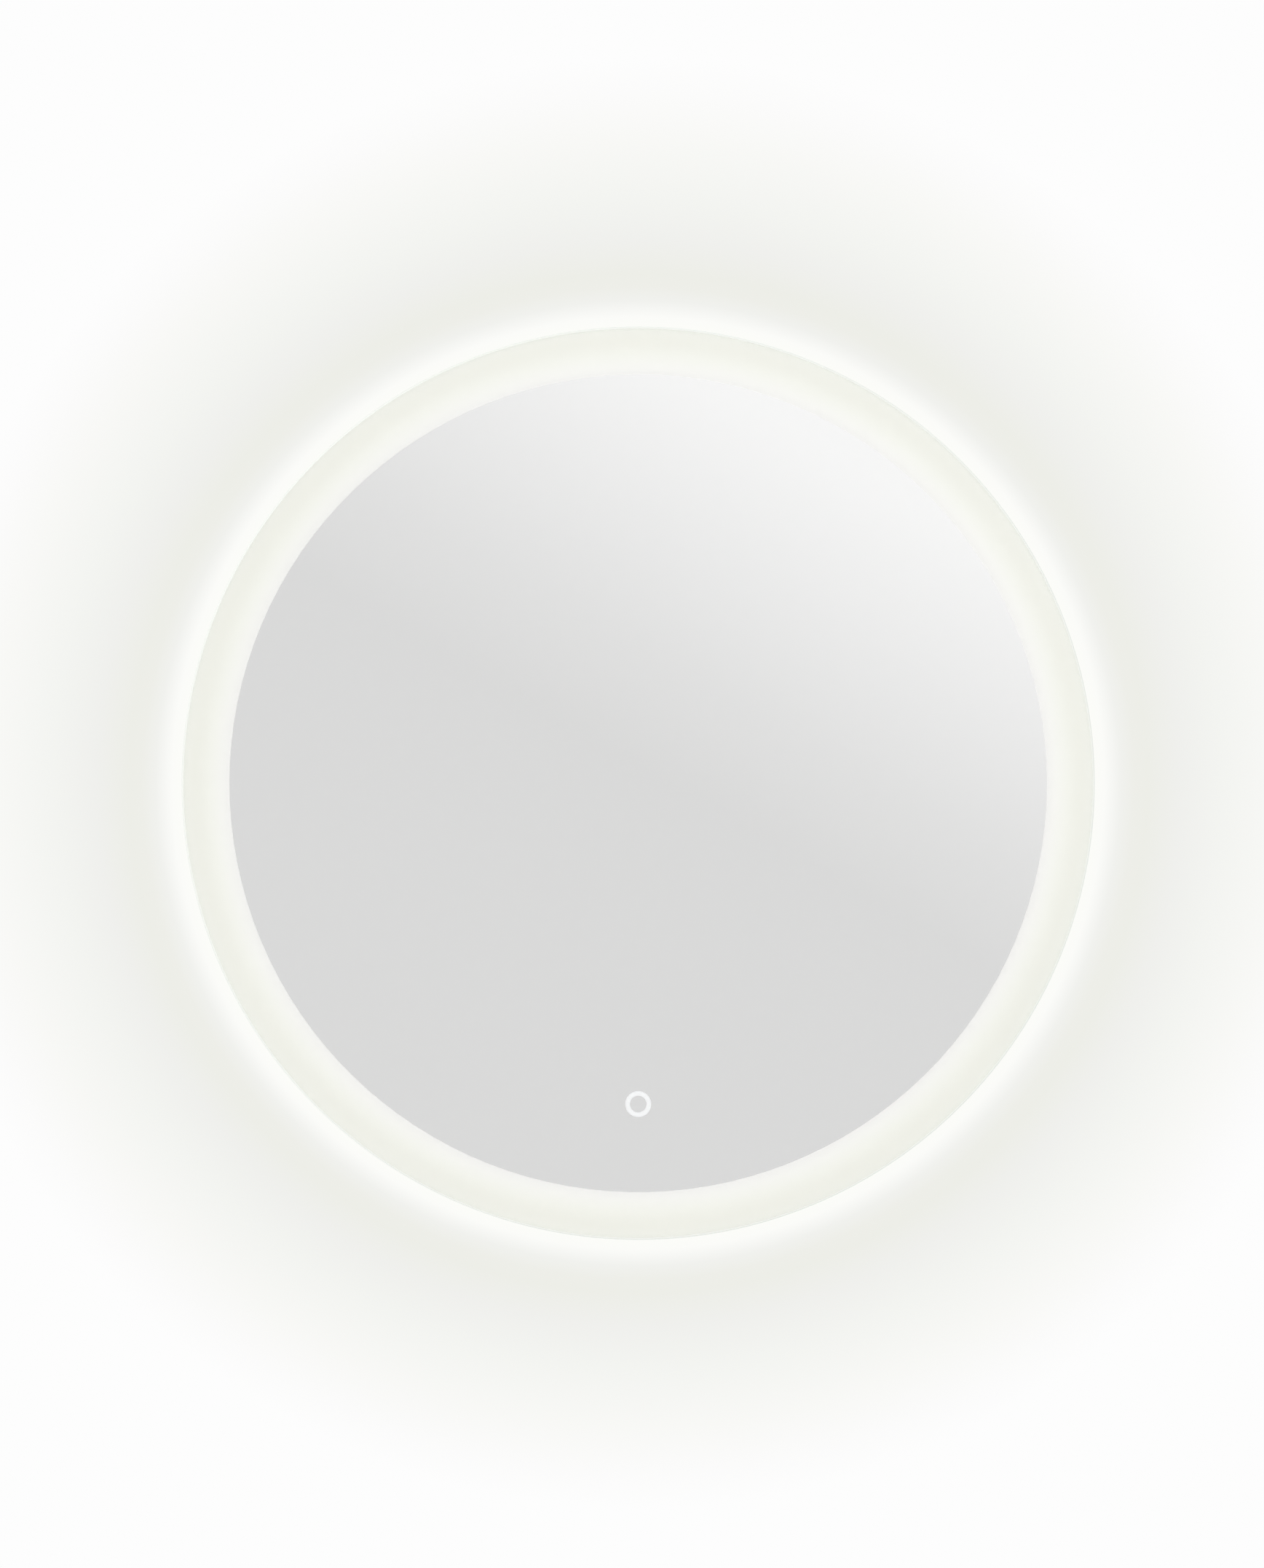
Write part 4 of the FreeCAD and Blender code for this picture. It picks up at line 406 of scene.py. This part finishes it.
def rivet_aluminium():
    return small_metal("rivet_aluminium", (0.72, 0.72, 0.72), (0.64, 0.64, 0.65), 0.35)


def plain_brass():
    return small_metal("plain_brass", (0.8, 0.63, 0.32), (0.7, 0.54, 0.24), 0.26)


def tin_plating():
    return small_metal("tin_plating", (0.8, 0.8, 0.79), (0.74, 0.74, 0.72), 0.3)


# ------------------------------------------------------------------ plastics, rubber and leads


def moulded(name, light, dark, roughness, **even):
    """Moulded plastic with the fine spark-eroded texture of its tool."""
    finish = new_finish(name, light, roughness, **even)
    colour_by(finish, grain(finish, 22 * MM), dark, light)
    texture = grain(finish, 0.6 * MM, detail=3.0, uneven=0.6)
    roughen(finish, texture, roughness - 0.08, roughness + 0.1)
    relief(finish, texture, 0.03 * MM)
    return finish


def white_moulding():
    return moulded("white_moulding", (0.9, 0.9, 0.88), (0.87, 0.87, 0.84), 0.45)


def grey_moulding():
    return moulded("grey_moulding", (0.25, 0.26, 0.28), (0.22, 0.23, 0.25), 0.5)


def nylon():
    return moulded("nylon", (0.88, 0.86, 0.78), (0.84, 0.81, 0.71), 0.32, Subsurface_Weight=0.12,
                   Subsurface_Scale=0.002)


def black_rubber():
    """Moulded rubber with a little dust in its grain."""
    finish = new_finish("black_rubber", (0.05, 0.05, 0.055), 0.7)
    dust = grain(finish, 4 * MM, detail=6.0, uneven=0.7)
    colour_by(finish, dust, (0.042, 0.042, 0.046), (0.085, 0.083, 0.08), 0.4, 0.75)
    skin = grain(finish, 0.5 * MM)
    roughen(finish, skin, 0.6, 0.85)
    relief(finish, skin, 0.03 * MM)
    return finish


def foam():
    """Closed-cell foam tape."""
    finish = new_finish("foam", (0.16, 0.16, 0.17), 0.9)
    bubbles = cells(finish, 0.5 * MM, output="Distance")
    # Each bubble is a pit in the bump and is darkest at its middle: painted shade in the pits.
    colour_by(finish, bubbles, (0.12, 0.12, 0.13), (0.19, 0.19, 0.2), 0.1, 0.7)
    relief(finish, bubbles, 0.08 * MM)
    return finish


def heating_film():
    """Clear film with the printed track of the heater, seen as close parallel lines."""
    finish = new_finish("heating_film", (0.86, 0.86, 0.83), 0.35)
    track = add(finish, "TexWave", bands_direction="X", wave_profile="SIN")
    track_pitch, wave_at_scale_one = 8 * MM, 0.314
    track.inputs["Scale"].default_value = wave_at_scale_one / track_pitch
    track.inputs["Distortion"].default_value = 0.0
    wire(finish, place(finish), track.inputs["Vector"])
    set_to(finish, "Base Color", tint(finish, track.outputs["Fac"], (0.66, (0.86, 0.86, 0.83)),
                                      (0.72, (0.2, 0.2, 0.21))))
    relief(finish, track.outputs["Fac"], 0.03 * MM)
    roughen(finish, grain(finish, 2 * MM), 0.28, 0.42)
    return finish


def green_board():
    """Green solder mask over squared copper tracks."""
    finish = new_finish("green_board", (0.05, 0.24, 0.12), 0.3)
    tracks = add(finish, "TexVoronoi", distance="MANHATTAN")
    tracks.inputs["Scale"].default_value = 1 / (3 * MM)
    wire(finish, place(finish), tracks.inputs["Vector"])
    set_to(finish, "Base Color", tint(finish, tracks.outputs["Distance"], (0.1, (0.62, 0.5, 0.22)),
                                      (0.12, (0.07, 0.32, 0.16)), (0.4, (0.07, 0.32, 0.16)),
                                      (0.45, (0.04, 0.2, 0.1))))
    relief(finish, tracks.outputs["Distance"], 0.02 * MM)
    return finish


def sheath(name, light, dark):
    """PVC sheath of a lead: satin, slightly uneven along its length."""
    finish = new_finish(name, light, 0.42)
    colour_by(finish, grain(finish, 15 * MM), dark, light)
    skin = grain(finish, 0.7 * MM)
    roughen(finish, skin, 0.34, 0.5)
    relief(finish, skin, 0.02 * MM)
    return finish


def white_sheath():
    return sheath("white_sheath", (0.88, 0.88, 0.86), (0.84, 0.84, 0.81))


def black_sheath():
    return sheath("black_sheath", (0.07, 0.07, 0.075), (0.055, 0.055, 0.06))


def earth_sheath():
    """Green lead with its yellow stripe on the wall side."""
    finish = sheath("earth_sheath", (0.2, 0.5, 0.14), (0.2, 0.5, 0.14))
    low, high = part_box("earth_lead")
    stripe_start, stripe_full = (low.y + share * (high.y - low.y) for share in (0.55, 0.56))
    stripe = spread(finish, depth_of(finish), 0.0, 1.0, stripe_start, stripe_full)
    colour_by(finish, stripe, (0.18, 0.46, 0.13), (0.85, 0.74, 0.12), 0.49, 0.51)
    return finish


# ------------------------------------------------------------------ pieces


def finished_piece(name, shape, finish, body, replaced=None, crease=35):
    """Turns the bmesh into a piece on its body, with smooth faces between sharp edges."""
    bmesh.ops.remove_doubles(shape, verts=shape.verts, dist=WELD)
    bmesh.ops.recalc_face_normals(shape, faces=shape.faces)
    mesh = bpy.data.meshes.new(name)
    shape.to_mesh(mesh)
    shape.free()
    mesh.shade_smooth()
    mesh.set_sharp_from_angle(angle=math.radians(crease))
    mesh.materials.append(finish)
    piece = bpy.data.objects.new(name, mesh)
    bpy.context.scene.collection.objects.link(piece)
    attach(piece, body)
    if replaced:
        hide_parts(replaced)
    return piece


def spin_round(shape, profile, centre, steps):
    """Turns a half profile of (radius, y) points about the y axis, and then moves it to its centre."""
    turned = bmesh.new()
    points = [turned.verts.new((radius, y, 0)) for radius, y in profile]
    lines = [turned.edges.new(pair) for pair in zip(points, points[1:])]
    bmesh.ops.spin(turned, geom=points + lines, cent=(0, 0, 0), axis=(0, 1, 0), angle=2 * math.pi,
                   steps=steps, use_merge=True)
    bmesh.ops.remove_doubles(turned, verts=turned.verts, dist=WELD)
    bmesh.ops.translate(turned, verts=turned.verts, vec=centre)
    join_to(shape, turned)


def solids_of(node):
    """Lowest and highest corner of each separate solid of a CAD node."""
    copy = bmesh.new()
    copy.from_mesh(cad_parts[node].data)
    bmesh.ops.remove_doubles(copy, verts=copy.verts, dist=1e-6)
    left, boxes = set(copy.verts), []
    while left:
        todo = [left.pop()]
        corners = []
        while todo:
            vert = todo.pop()
            corners.append(vert.co.copy())
            near = {edge.other_vert(vert) for edge in vert.link_edges} & left
            left -= near
            todo += near
        boxes.append(tuple(Vector(pick(c[i] for c in corners) for i in range(3)) for pick in (min, max)))
    copy.free()
    return sorted(boxes, key=lambda box: tuple(box[0]))


def arc(start, stop, radius, centre_radius, centre_y, steps=6, rise=None):
    """Points of a rounded corner in a profile, from one angle to another in degrees."""
    angles = [math.radians(start + (stop - start) * i / steps) for i in range(steps + 1)]
    rise = rise or radius
    return [(centre_radius + radius * math.cos(a), centre_y + rise * math.sin(a)) for a in angles]


def join_to(shape, one):
    """Moves one finished bmesh into the piece's own."""
    part = bpy.data.meshes.new("part")
    one.to_mesh(part)
    one.free()
    shape.from_mesh(part)
    bpy.data.meshes.remove(part)


def glass_pane():
    """Pane with ground arrises. Its rear face clears the silver by a hair, so that light tells them apart."""
    front_arris, rear_arris, hair = 0.8 * MM, 0.4 * MM, 0.03 * MM
    rear = PANE_REAR - hair
    profile = [(0, PANE_FRONT), (PANE_RADIUS - front_arris, PANE_FRONT),
               (PANE_RADIUS, PANE_FRONT + front_arris), (PANE_RADIUS, rear - rear_arris),
               (PANE_RADIUS - rear_arris, rear), (0, rear)]
    shape = bmesh.new()
    spin_round(shape, profile, CENTRE, steps=256)
    pane = finished_piece("glass_pane", shape, float_glass(), "mirror", "mirror_glass",
                          crease=20)
    pane.data.materials.append(ground_edge())
    for face in pane.data.polygons:
        out = Vector((face.center.x - CENTRE.x, 0, face.center.z - CENTRE.z)).length
        face.material_index = int(out > PANE_RADIUS - front_arris)


def cut_recess(shape, ring, outline, depth, taper):
    """Closes the open ring on a screw head with a recess of that outline, sunk along -y."""
    y = ring[0].verts[0].co.y
    middle = sum((v.co for e in ring for v in e.verts), Vector()) / (2 * len(ring))
    corners = [shape.verts.new((middle.x + a, y, middle.z + b)) for a, b in outline]
    rim = [shape.edges.new(pair) for pair in zip(corners, corners[1:] + corners[:1])]
    bmesh.ops.triangle_fill(shape, edges=ring + rim, use_beauty=True, use_dissolve=False, normal=(0, 1, 0))
    sunk = bmesh.ops.extrude_edge_only(shape, edges=rim)["geom"]
    low = [item for item in sunk if isinstance(item, bmesh.types.BMVert)]
    lines = [item for item in sunk if isinstance(item, bmesh.types.BMEdge)]
    base = [line for line in lines if all(vert in low for vert in line.verts)]
    bmesh.ops.translate(shape, verts=low, vec=(0, -depth, 0))
    bmesh.ops.scale(shape, verts=low, vec=(taper, 1, taper), space=Matrix.Translation(-middle))
    bmesh.ops.edgeloop_fill(shape, edges=base)


def cross(arm, width):
    """Outline of a cross recess, twelve corners in order."""
    a, w = arm, width / 2
    quarter = [(a, -w), (a, w), (w, w)]
    turned = []
    for _ in range(4):
        turned += quarter
        quarter = [(-z, x) for x, z in quarter]
    return turned


def bar(arm, width):
    """Outline of a slot recess, four corners in order."""
    w = width / 2
    return [(arm, w), (-arm, w), (-arm, -w), (arm, -w)]


def recessed_screws(node, finish, name, outline, edge):
    """Recessed heads towards the wall, rounded by a share of their radius, on threaded shanks."""
    shape = bmesh.new()
    for low, high in solids_of(node):
        one = bmesh.new()
        centre = Vector(((low.x + high.x) / 2, 0, (low.z + high.z) / 2))
        head = (high.x - low.x) / 2
        height = head * 0.6
        seat, top = high.y - height, high.y
        shank, pitch = head * 0.46, head * 0.3
        thread = []
        y = low.y + head * 0.5
        while y < seat - pitch:
            thread += [(shank, y), (shank * 0.82, y + pitch / 2)]
            y += pitch
        profile = [(0, low.y), (shank * 0.5, low.y + head * 0.25)] + thread + [
            (shank, seat), (head * 0.97, seat), (head, seat + height * 0.12)]
        profile += arc(0, 90, head * edge, head * (1 - edge), top - head * edge)
        spin_round(one, [(r, min(y, top)) for r, y in profile], centre, steps=32)
        ring = [e for e in one.edges if e.is_boundary]
        cut_recess(one, ring, [(a * head, b * head) for a, b in outline], depth=height * 0.62, taper=0.72)
        join_to(shape, one)
    finished_piece(name, shape, finish, "mirror", node)


def blind_rivets(node, name, finish, outward=False):
    """Domed blind rivets, broken mandrels in their holes, towards the wall or outward from the ring."""
    shape = bmesh.new()
    for low, high in solids_of(node):
        middle = (low + high) / 2
        if outward:
            foot, top = low.z, high.z
            stand = Matrix.Translation((middle.x, middle.y, 0)) @ Matrix.Rotation(math.radians(90), 4, "X")
        else:
            foot, top = low.y, high.y
            stand = Matrix.Translation((middle.x, 0, middle.z))
        head = (high.x - low.x) / 2
        height = head * 0.36
        bore, mandrel = head * 0.33, head * 0.28
        profile = [(0, top - height * 0.9), (mandrel * 0.7, top - height * 0.86),
                   (mandrel, top - height * 1.1), (bore, top - height * 1.1),
                   (bore, top - height * 0.08)]
        dome_start = 68
        profile += arc(dome_start, 8, head, 0, top - height,
                       rise=height / math.sin(math.radians(dome_start)))
        profile = [(min(r, head), min(y, top)) for r, y in profile]
        profile += [(head, top - height), (head * 0.53, top - height), (head * 0.53, foot + head * 0.9)]
        profile += arc(60, -60, head * 0.36, head * 0.42, foot + head * 0.5)
        profile += [(head * 0.3, foot), (0, foot)]
        one = bmesh.new()
        spin_round(one, [(r, max(y, foot)) for r, y in profile], Vector(), steps=28)
        one.transform(stand)
        join_to(shape, one)
    finished_piece(name, shape, finish, "mirror", node)


def rubber_feet():
    """Feet with a rounded edge, a sunk fixing hole and two ribs that press on the wall."""
    shape = bmesh.new()
    for low, high in solids_of("wall_bumpers"):
        centre = Vector(((low.x + high.x) / 2, 0, (low.z + high.z) / 2))
        base = (high.x - low.x) / 2
        tip = base - 1.5 * MM
        sunk = high.y - 3.2 * MM
        profile = [(0, sunk), (2.2 * MM, sunk), (2.6 * MM, high.y - 0.8 * MM), (3.2 * MM, high.y - 0.5 * MM)]
        for middle in (4.6 * MM, 6.4 * MM):
            profile += [(middle - 0.6 * MM, high.y - 0.5 * MM)]
            profile += arc(150, 30, 0.5 * MM, middle, high.y - 0.5 * MM, 4)
            profile += [(middle + 0.6 * MM, high.y - 0.5 * MM)]
        profile += arc(90, 10, 1.0 * MM, tip - 1.0 * MM, high.y - 1.5 * MM, 5)
        profile += [(base - 0.2 * MM, low.y + 0.8 * MM), (base, low.y + 0.5 * MM), (base, low.y), (0, low.y)]
        spin_round(shape, profile, centre, steps=48)
    finished_piece("rubber_feet", shape, black_rubber(), "mirror", "wall_bumpers")


def chip_windows():
    """Round phosphor window, sunk in the outer face of each light chip and a little proud of it."""
    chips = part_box("led_chips")
    outer, window = chips[1].x, 1.05 * MM
    proud, sunk = 0.08 * MM, 0.05 * MM
    depth = (chips[0].y + chips[1].y) / 2
    shape = bmesh.new()
    for index in range(LED_COUNT):
        angle = (index - (LED_COUNT - 1) / 2) * LED_STEP
        placed = (Matrix.Translation(CENTRE) @ Matrix.Rotation(angle, 4, "Y")
                  @ Matrix.Translation((0, depth, outer + (proud - sunk) / 2)))
        bmesh.ops.create_cone(shape, cap_ends=True, segments=12, radius1=window,
                              radius2=window - 0.2 * MM, depth=proud + sunk, matrix=placed)
    finished_piece("chip_windows", shape, phosphor(), "mirror", crease=60)


# ------------------------------------------------------------------ dressing the CAD pieces


def dress(finishes):
    """Gives each CAD piece that stays its finish, by its own material slots."""
    for finish, nodes in finishes:
        for node in nodes.split():
            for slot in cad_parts[node].material_slots:
                slot.material = finish


dress([
    (silver_coat(), "silver_backing"),
    (frosted_rim(), "frosted_band"),
    (lit_touch_ring(), "touch_ring_light"),
    (heating_film(), "demister_pad"),
    (foam(), "mounting_tape"),
    (anodised_frame(), "frame_ring"),
    (mill_extrusion(), "frame_splice hanging_cleat wall_rail"),
    (white_circuit(), "led_strip strip_connector"),
    (chip_housing(), "led_chips"),
    (opal_cover(), "strip_cover"),
    (black_rubber(), "frame_grommet inlet_grommet"),
    (galvanised_sheet(), "back_plate"),
    (zinc_plating(), "earth_stud earth_nut"),
    (tin_plating(), "earth_tag"),
    (white_moulding(), "terminal_box terminal_box_lid"),
    (grey_moulding(), "driver_case driver_lid touch_switch_case"),
    (nylon(), "terminal_block cord_clamp cable_clips"),
    (green_board(), "touch_switch_board"),
    (white_sheath(), "driver_power_lead strip_lead demister_lead"),
    (black_sheath(), "driver_output_lead"),
    (earth_sheath(), "earth_lead"),
])

glass_pane()
chip_windows()
# Recess outlines and rounded edges in shares of the head's radius.
CROSS, SLOT = cross(arm=0.46, width=0.17), bar(arm=0.8, width=0.2)
for screws in ("back_plate_screws", "lid_screws", "driver_screws", "clamp_screws"):
    recessed_screws(screws, zinc_plating(), screws + "_turned", CROSS, edge=0.39)
recessed_screws("terminal_screws", plain_brass(), "terminal_screws_turned", SLOT, edge=0.15)
blind_rivets("cleat_rivets", "hanger_rivets", rivet_aluminium())
blind_rivets("splice_rivets", "frame_joint_rivets", rivet_aluminium(), outward=True)
rubber_feet()


# ------------------------------------------------------------------ wall, floor, light and camera

WALL_REAR = 0.6 * MM
STAGE_REACH = 8.0
FLOOR_HEIGHT = -0.85
BACKDROP = (0.982, 0.982, 0.982)
ROOM_LIGHT = 0.75
ROOM_SHADE = 0.756
WALL_SIDE_LOW, WALL_SIDE_HIGH = 0.62, 1.75
# Shares of ROOM_SHADE in the room that is mirrored, from the lower left to the upper right.
ROOM_STEPS = ((0.0, 0.85), (0.4, 1.0), (0.504, 1.0), (0.524, 1.075), (0.5725, 1.328), (0.61, 1.36),
              (0.7, 1.14), (0.82, 0.98), (1.0, 0.92))
UPPER_RIGHT = math.radians(60)


def stage_sheet(name, corners, finish):
    """Flat sheet of the stage through four corners."""
    shape = bmesh.new()
    shape.faces.new([shape.verts.new(c) for c in corners])
    mesh = bpy.data.meshes.new(name)
    shape.to_mesh(mesh)
    shape.free()
    mesh.materials.append(finish)
    sheet = bpy.data.objects.new(name, mesh)
    bpy.context.scene.collection.objects.link(sheet)
    return sheet


def blend_shaders(finish, share, first, second):
    mix = add(finish, "MixShader")
    for source, socket in zip((share, first, second), mix.inputs):
        wire(finish, source, socket)
    return mix.outputs[0]


def one_sided(finish, surface):
    """Shows the surface from its front and nothing from behind."""
    behind = add(finish, "NewGeometry").outputs["Backfacing"]
    clear = add(finish, "BsdfTransparent").outputs[0]
    wire(finish, blend_shaders(finish, behind, surface, clear),
         finish.node_tree.nodes["Material Output"].inputs["Surface"])


def painted_halo_wall():
    """White wall with a painted halo: a painted glow of the lights just outside the pane, a painted shade
    ring beyond it, then the backdrop's white. Seen from the room only, so that it hides nothing from behind.
    """
    finish = bpy.data.materials.new("painted_halo_wall")
    finish.use_nodes = True
    finish.node_tree.nodes.remove(shader_of(finish))
    start, reach = PANE_RADIUS - 10 * MM, 200 * MM
    # The ramp paints the light on the wall: a painted glow just outside the pane, a painted shade ring beyond
    # it, and then the backdrop's white.
    painted_halo = tint(finish, spread(finish, from_axis(finish), 0.0, 1.0, start, start + reach),
                (0.0, (0.955, 0.96, 0.92)), (0.075, (0.972, 0.975, 0.942)), (0.105, (0.965, 0.967, 0.943)),
                (0.13, (0.925, 0.928, 0.905)), (0.16, (0.877, 0.881, 0.853)), (0.205, (0.853, 0.856, 0.811)),
                (0.25, (0.848, 0.853, 0.804)), (0.36, (0.868, 0.87, 0.846)), (0.5, (0.898, 0.905, 0.878)),
                (0.7, (0.94, 0.94, 0.92)), (0.86, (0.968, 0.966, 0.963)), (0.97, BACKDROP))
    glow = add(finish, "Emission")
    wire(finish, painted_halo, glow.inputs["Color"])
    one_sided(finish, glow.outputs[0])
    return finish


def pale_floor():
    """Pale floor with the mirror's shadow, which runs out into the backdrop's white."""
    finish = new_finish("pale_floor", (0.9, 0.9, 0.9), 0.8)
    colour_by(finish, grain(finish, 400 * MM), (0.89, 0.89, 0.885), (0.91, 0.91, 0.91))
    away = add(finish, "VectorMath", operation="LENGTH")
    wire(finish, place(finish, (1, 1, 0)), away.inputs[0])
    far = add(finish, "Emission")
    far.inputs["Color"].default_value = (*BACKDROP, 1)
    fade = spread(finish, away.outputs["Value"], 0.0, 1.0, 1.0, 4.0)
    one_sided(finish, blend_shaders(finish, fade, shader_of(finish).outputs[0], far.outputs[0]))
    return finish


def studio_world():
    """Even soft room light. Glass and metal see a room with a broad bright patch to the upper right."""
    world = bpy.data.worlds.new("studio")
    bpy.context.scene.world = world
    world.use_nodes = True
    soft = world.node_tree.nodes["Background"]
    soft.inputs["Color"].default_value = (0.99, 0.99, 1.0, 1)
    soft.inputs["Strength"].default_value = ROOM_LIGHT

    direction = add(world, "TexCoord").outputs["Generated"]
    to_upper_right = add(world, "VectorMath", operation="DOT_PRODUCT")
    to_upper_right.inputs[1].default_value = (math.cos(UPPER_RIGHT), 0, math.sin(UPPER_RIGHT))
    wire(world, direction, to_upper_right.inputs[0])
    across = spread(world, to_upper_right.outputs["Value"], 0.0, 1.0, -0.6, 0.6)
    shades = tint(world, across, *((stop, (shade * ROOM_SHADE,) * 3) for stop, shade in ROOM_STEPS))
    parts = add(world, "SeparateXYZ")
    wire(world, direction, parts.inputs[0])
    behind = spread(world, parts.outputs["Y"], 0.0, 1.0, -0.1, 0.3)
    shaded = spread(world, parts.outputs["Z"], WALL_SIDE_LOW - 1, WALL_SIDE_HIGH - 1, -0.5, 0.6)
    room = add(world, "Background")
    wire(world, shades, room.inputs["Color"])
    extra = sum_up(world, "MULTIPLY", behind, shaded)
    wire(world, sum_up(world, "ADD", extra, 1.0), room.inputs["Strength"])

    backdrop = add(world, "Background")
    backdrop.inputs["Color"].default_value = (*BACKDROP, 1)
    path = add(world, "LightPath")
    mirrored = sum_up(world, "MAXIMUM", path.outputs["Is Glossy Ray"], path.outputs["Is Transmission Ray"])
    lit = blend_shaders(world, mirrored, soft.outputs[0], room.outputs[0])
    seen = blend_shaders(world, path.outputs["Is Camera Ray"], lit, backdrop.outputs[0])
    wire(world, seen, world.node_tree.nodes["World Output"].inputs["Surface"])


def soft_lamp(name, position, size, power):
    """Wide lamp aimed at the pane. Mirrored rays see the room's own shades in its place."""
    lamp = bpy.data.lights.new(name, "AREA")
    lamp.size = size
    lamp.energy = power
    holder = bpy.data.objects.new(name, lamp)
    holder.location = position
    holder.rotation_euler = (CENTRE - Vector(position)).to_track_quat("-Z", "Y").to_euler()
    holder.visible_glossy = holder.visible_transmission = False
    bpy.context.scene.collection.objects.link(holder)


def photo_camera():
    """Long lens square on to the pane, a little left of its centre, framed as the photograph is."""
    frame_height = 1030 * MM
    left, below = 4.1 * MM, 0.5 * MM
    lens, sensor = 100, 36
    distance = frame_height * lens / sensor
    camera = bpy.data.cameras.new("camera")
    camera.lens = lens
    camera.sensor_width = sensor
    holder = bpy.data.objects.new("camera", camera)
    holder.location = (CENTRE.x - left, PANE_FRONT - distance, CENTRE.z - below)
    holder.rotation_euler = (math.radians(90), 0, 0)
    bpy.context.scene.collection.objects.link(holder)
    bpy.context.scene.camera = holder


wall = stage_sheet("wall", [(-STAGE_REACH, WALL_REAR, FLOOR_HEIGHT), (STAGE_REACH, WALL_REAR, FLOOR_HEIGHT),
                            (STAGE_REACH, WALL_REAR, STAGE_REACH), (-STAGE_REACH, WALL_REAR, STAGE_REACH)],
                   painted_halo_wall())
wall.visible_shadow = wall.visible_diffuse = wall.visible_glossy = False
floor = stage_sheet("floor", [(x * STAGE_REACH, y * STAGE_REACH, FLOOR_HEIGHT)
                              for x, y in ((-1, -1), (1, -1), (1, 1), (-1, 1))], pale_floor())
floor.visible_transmission = floor.visible_glossy = False
studio_world()
soft_lamp("room_lamp", (-1.5, -2.2, 1.3), size=1.6, power=17)
soft_lamp("back_lamp", (1.3, 1.9, 1.2), size=2.2, power=17)
photo_camera()
bpy.context.scene.view_settings.view_transform = "Standard"
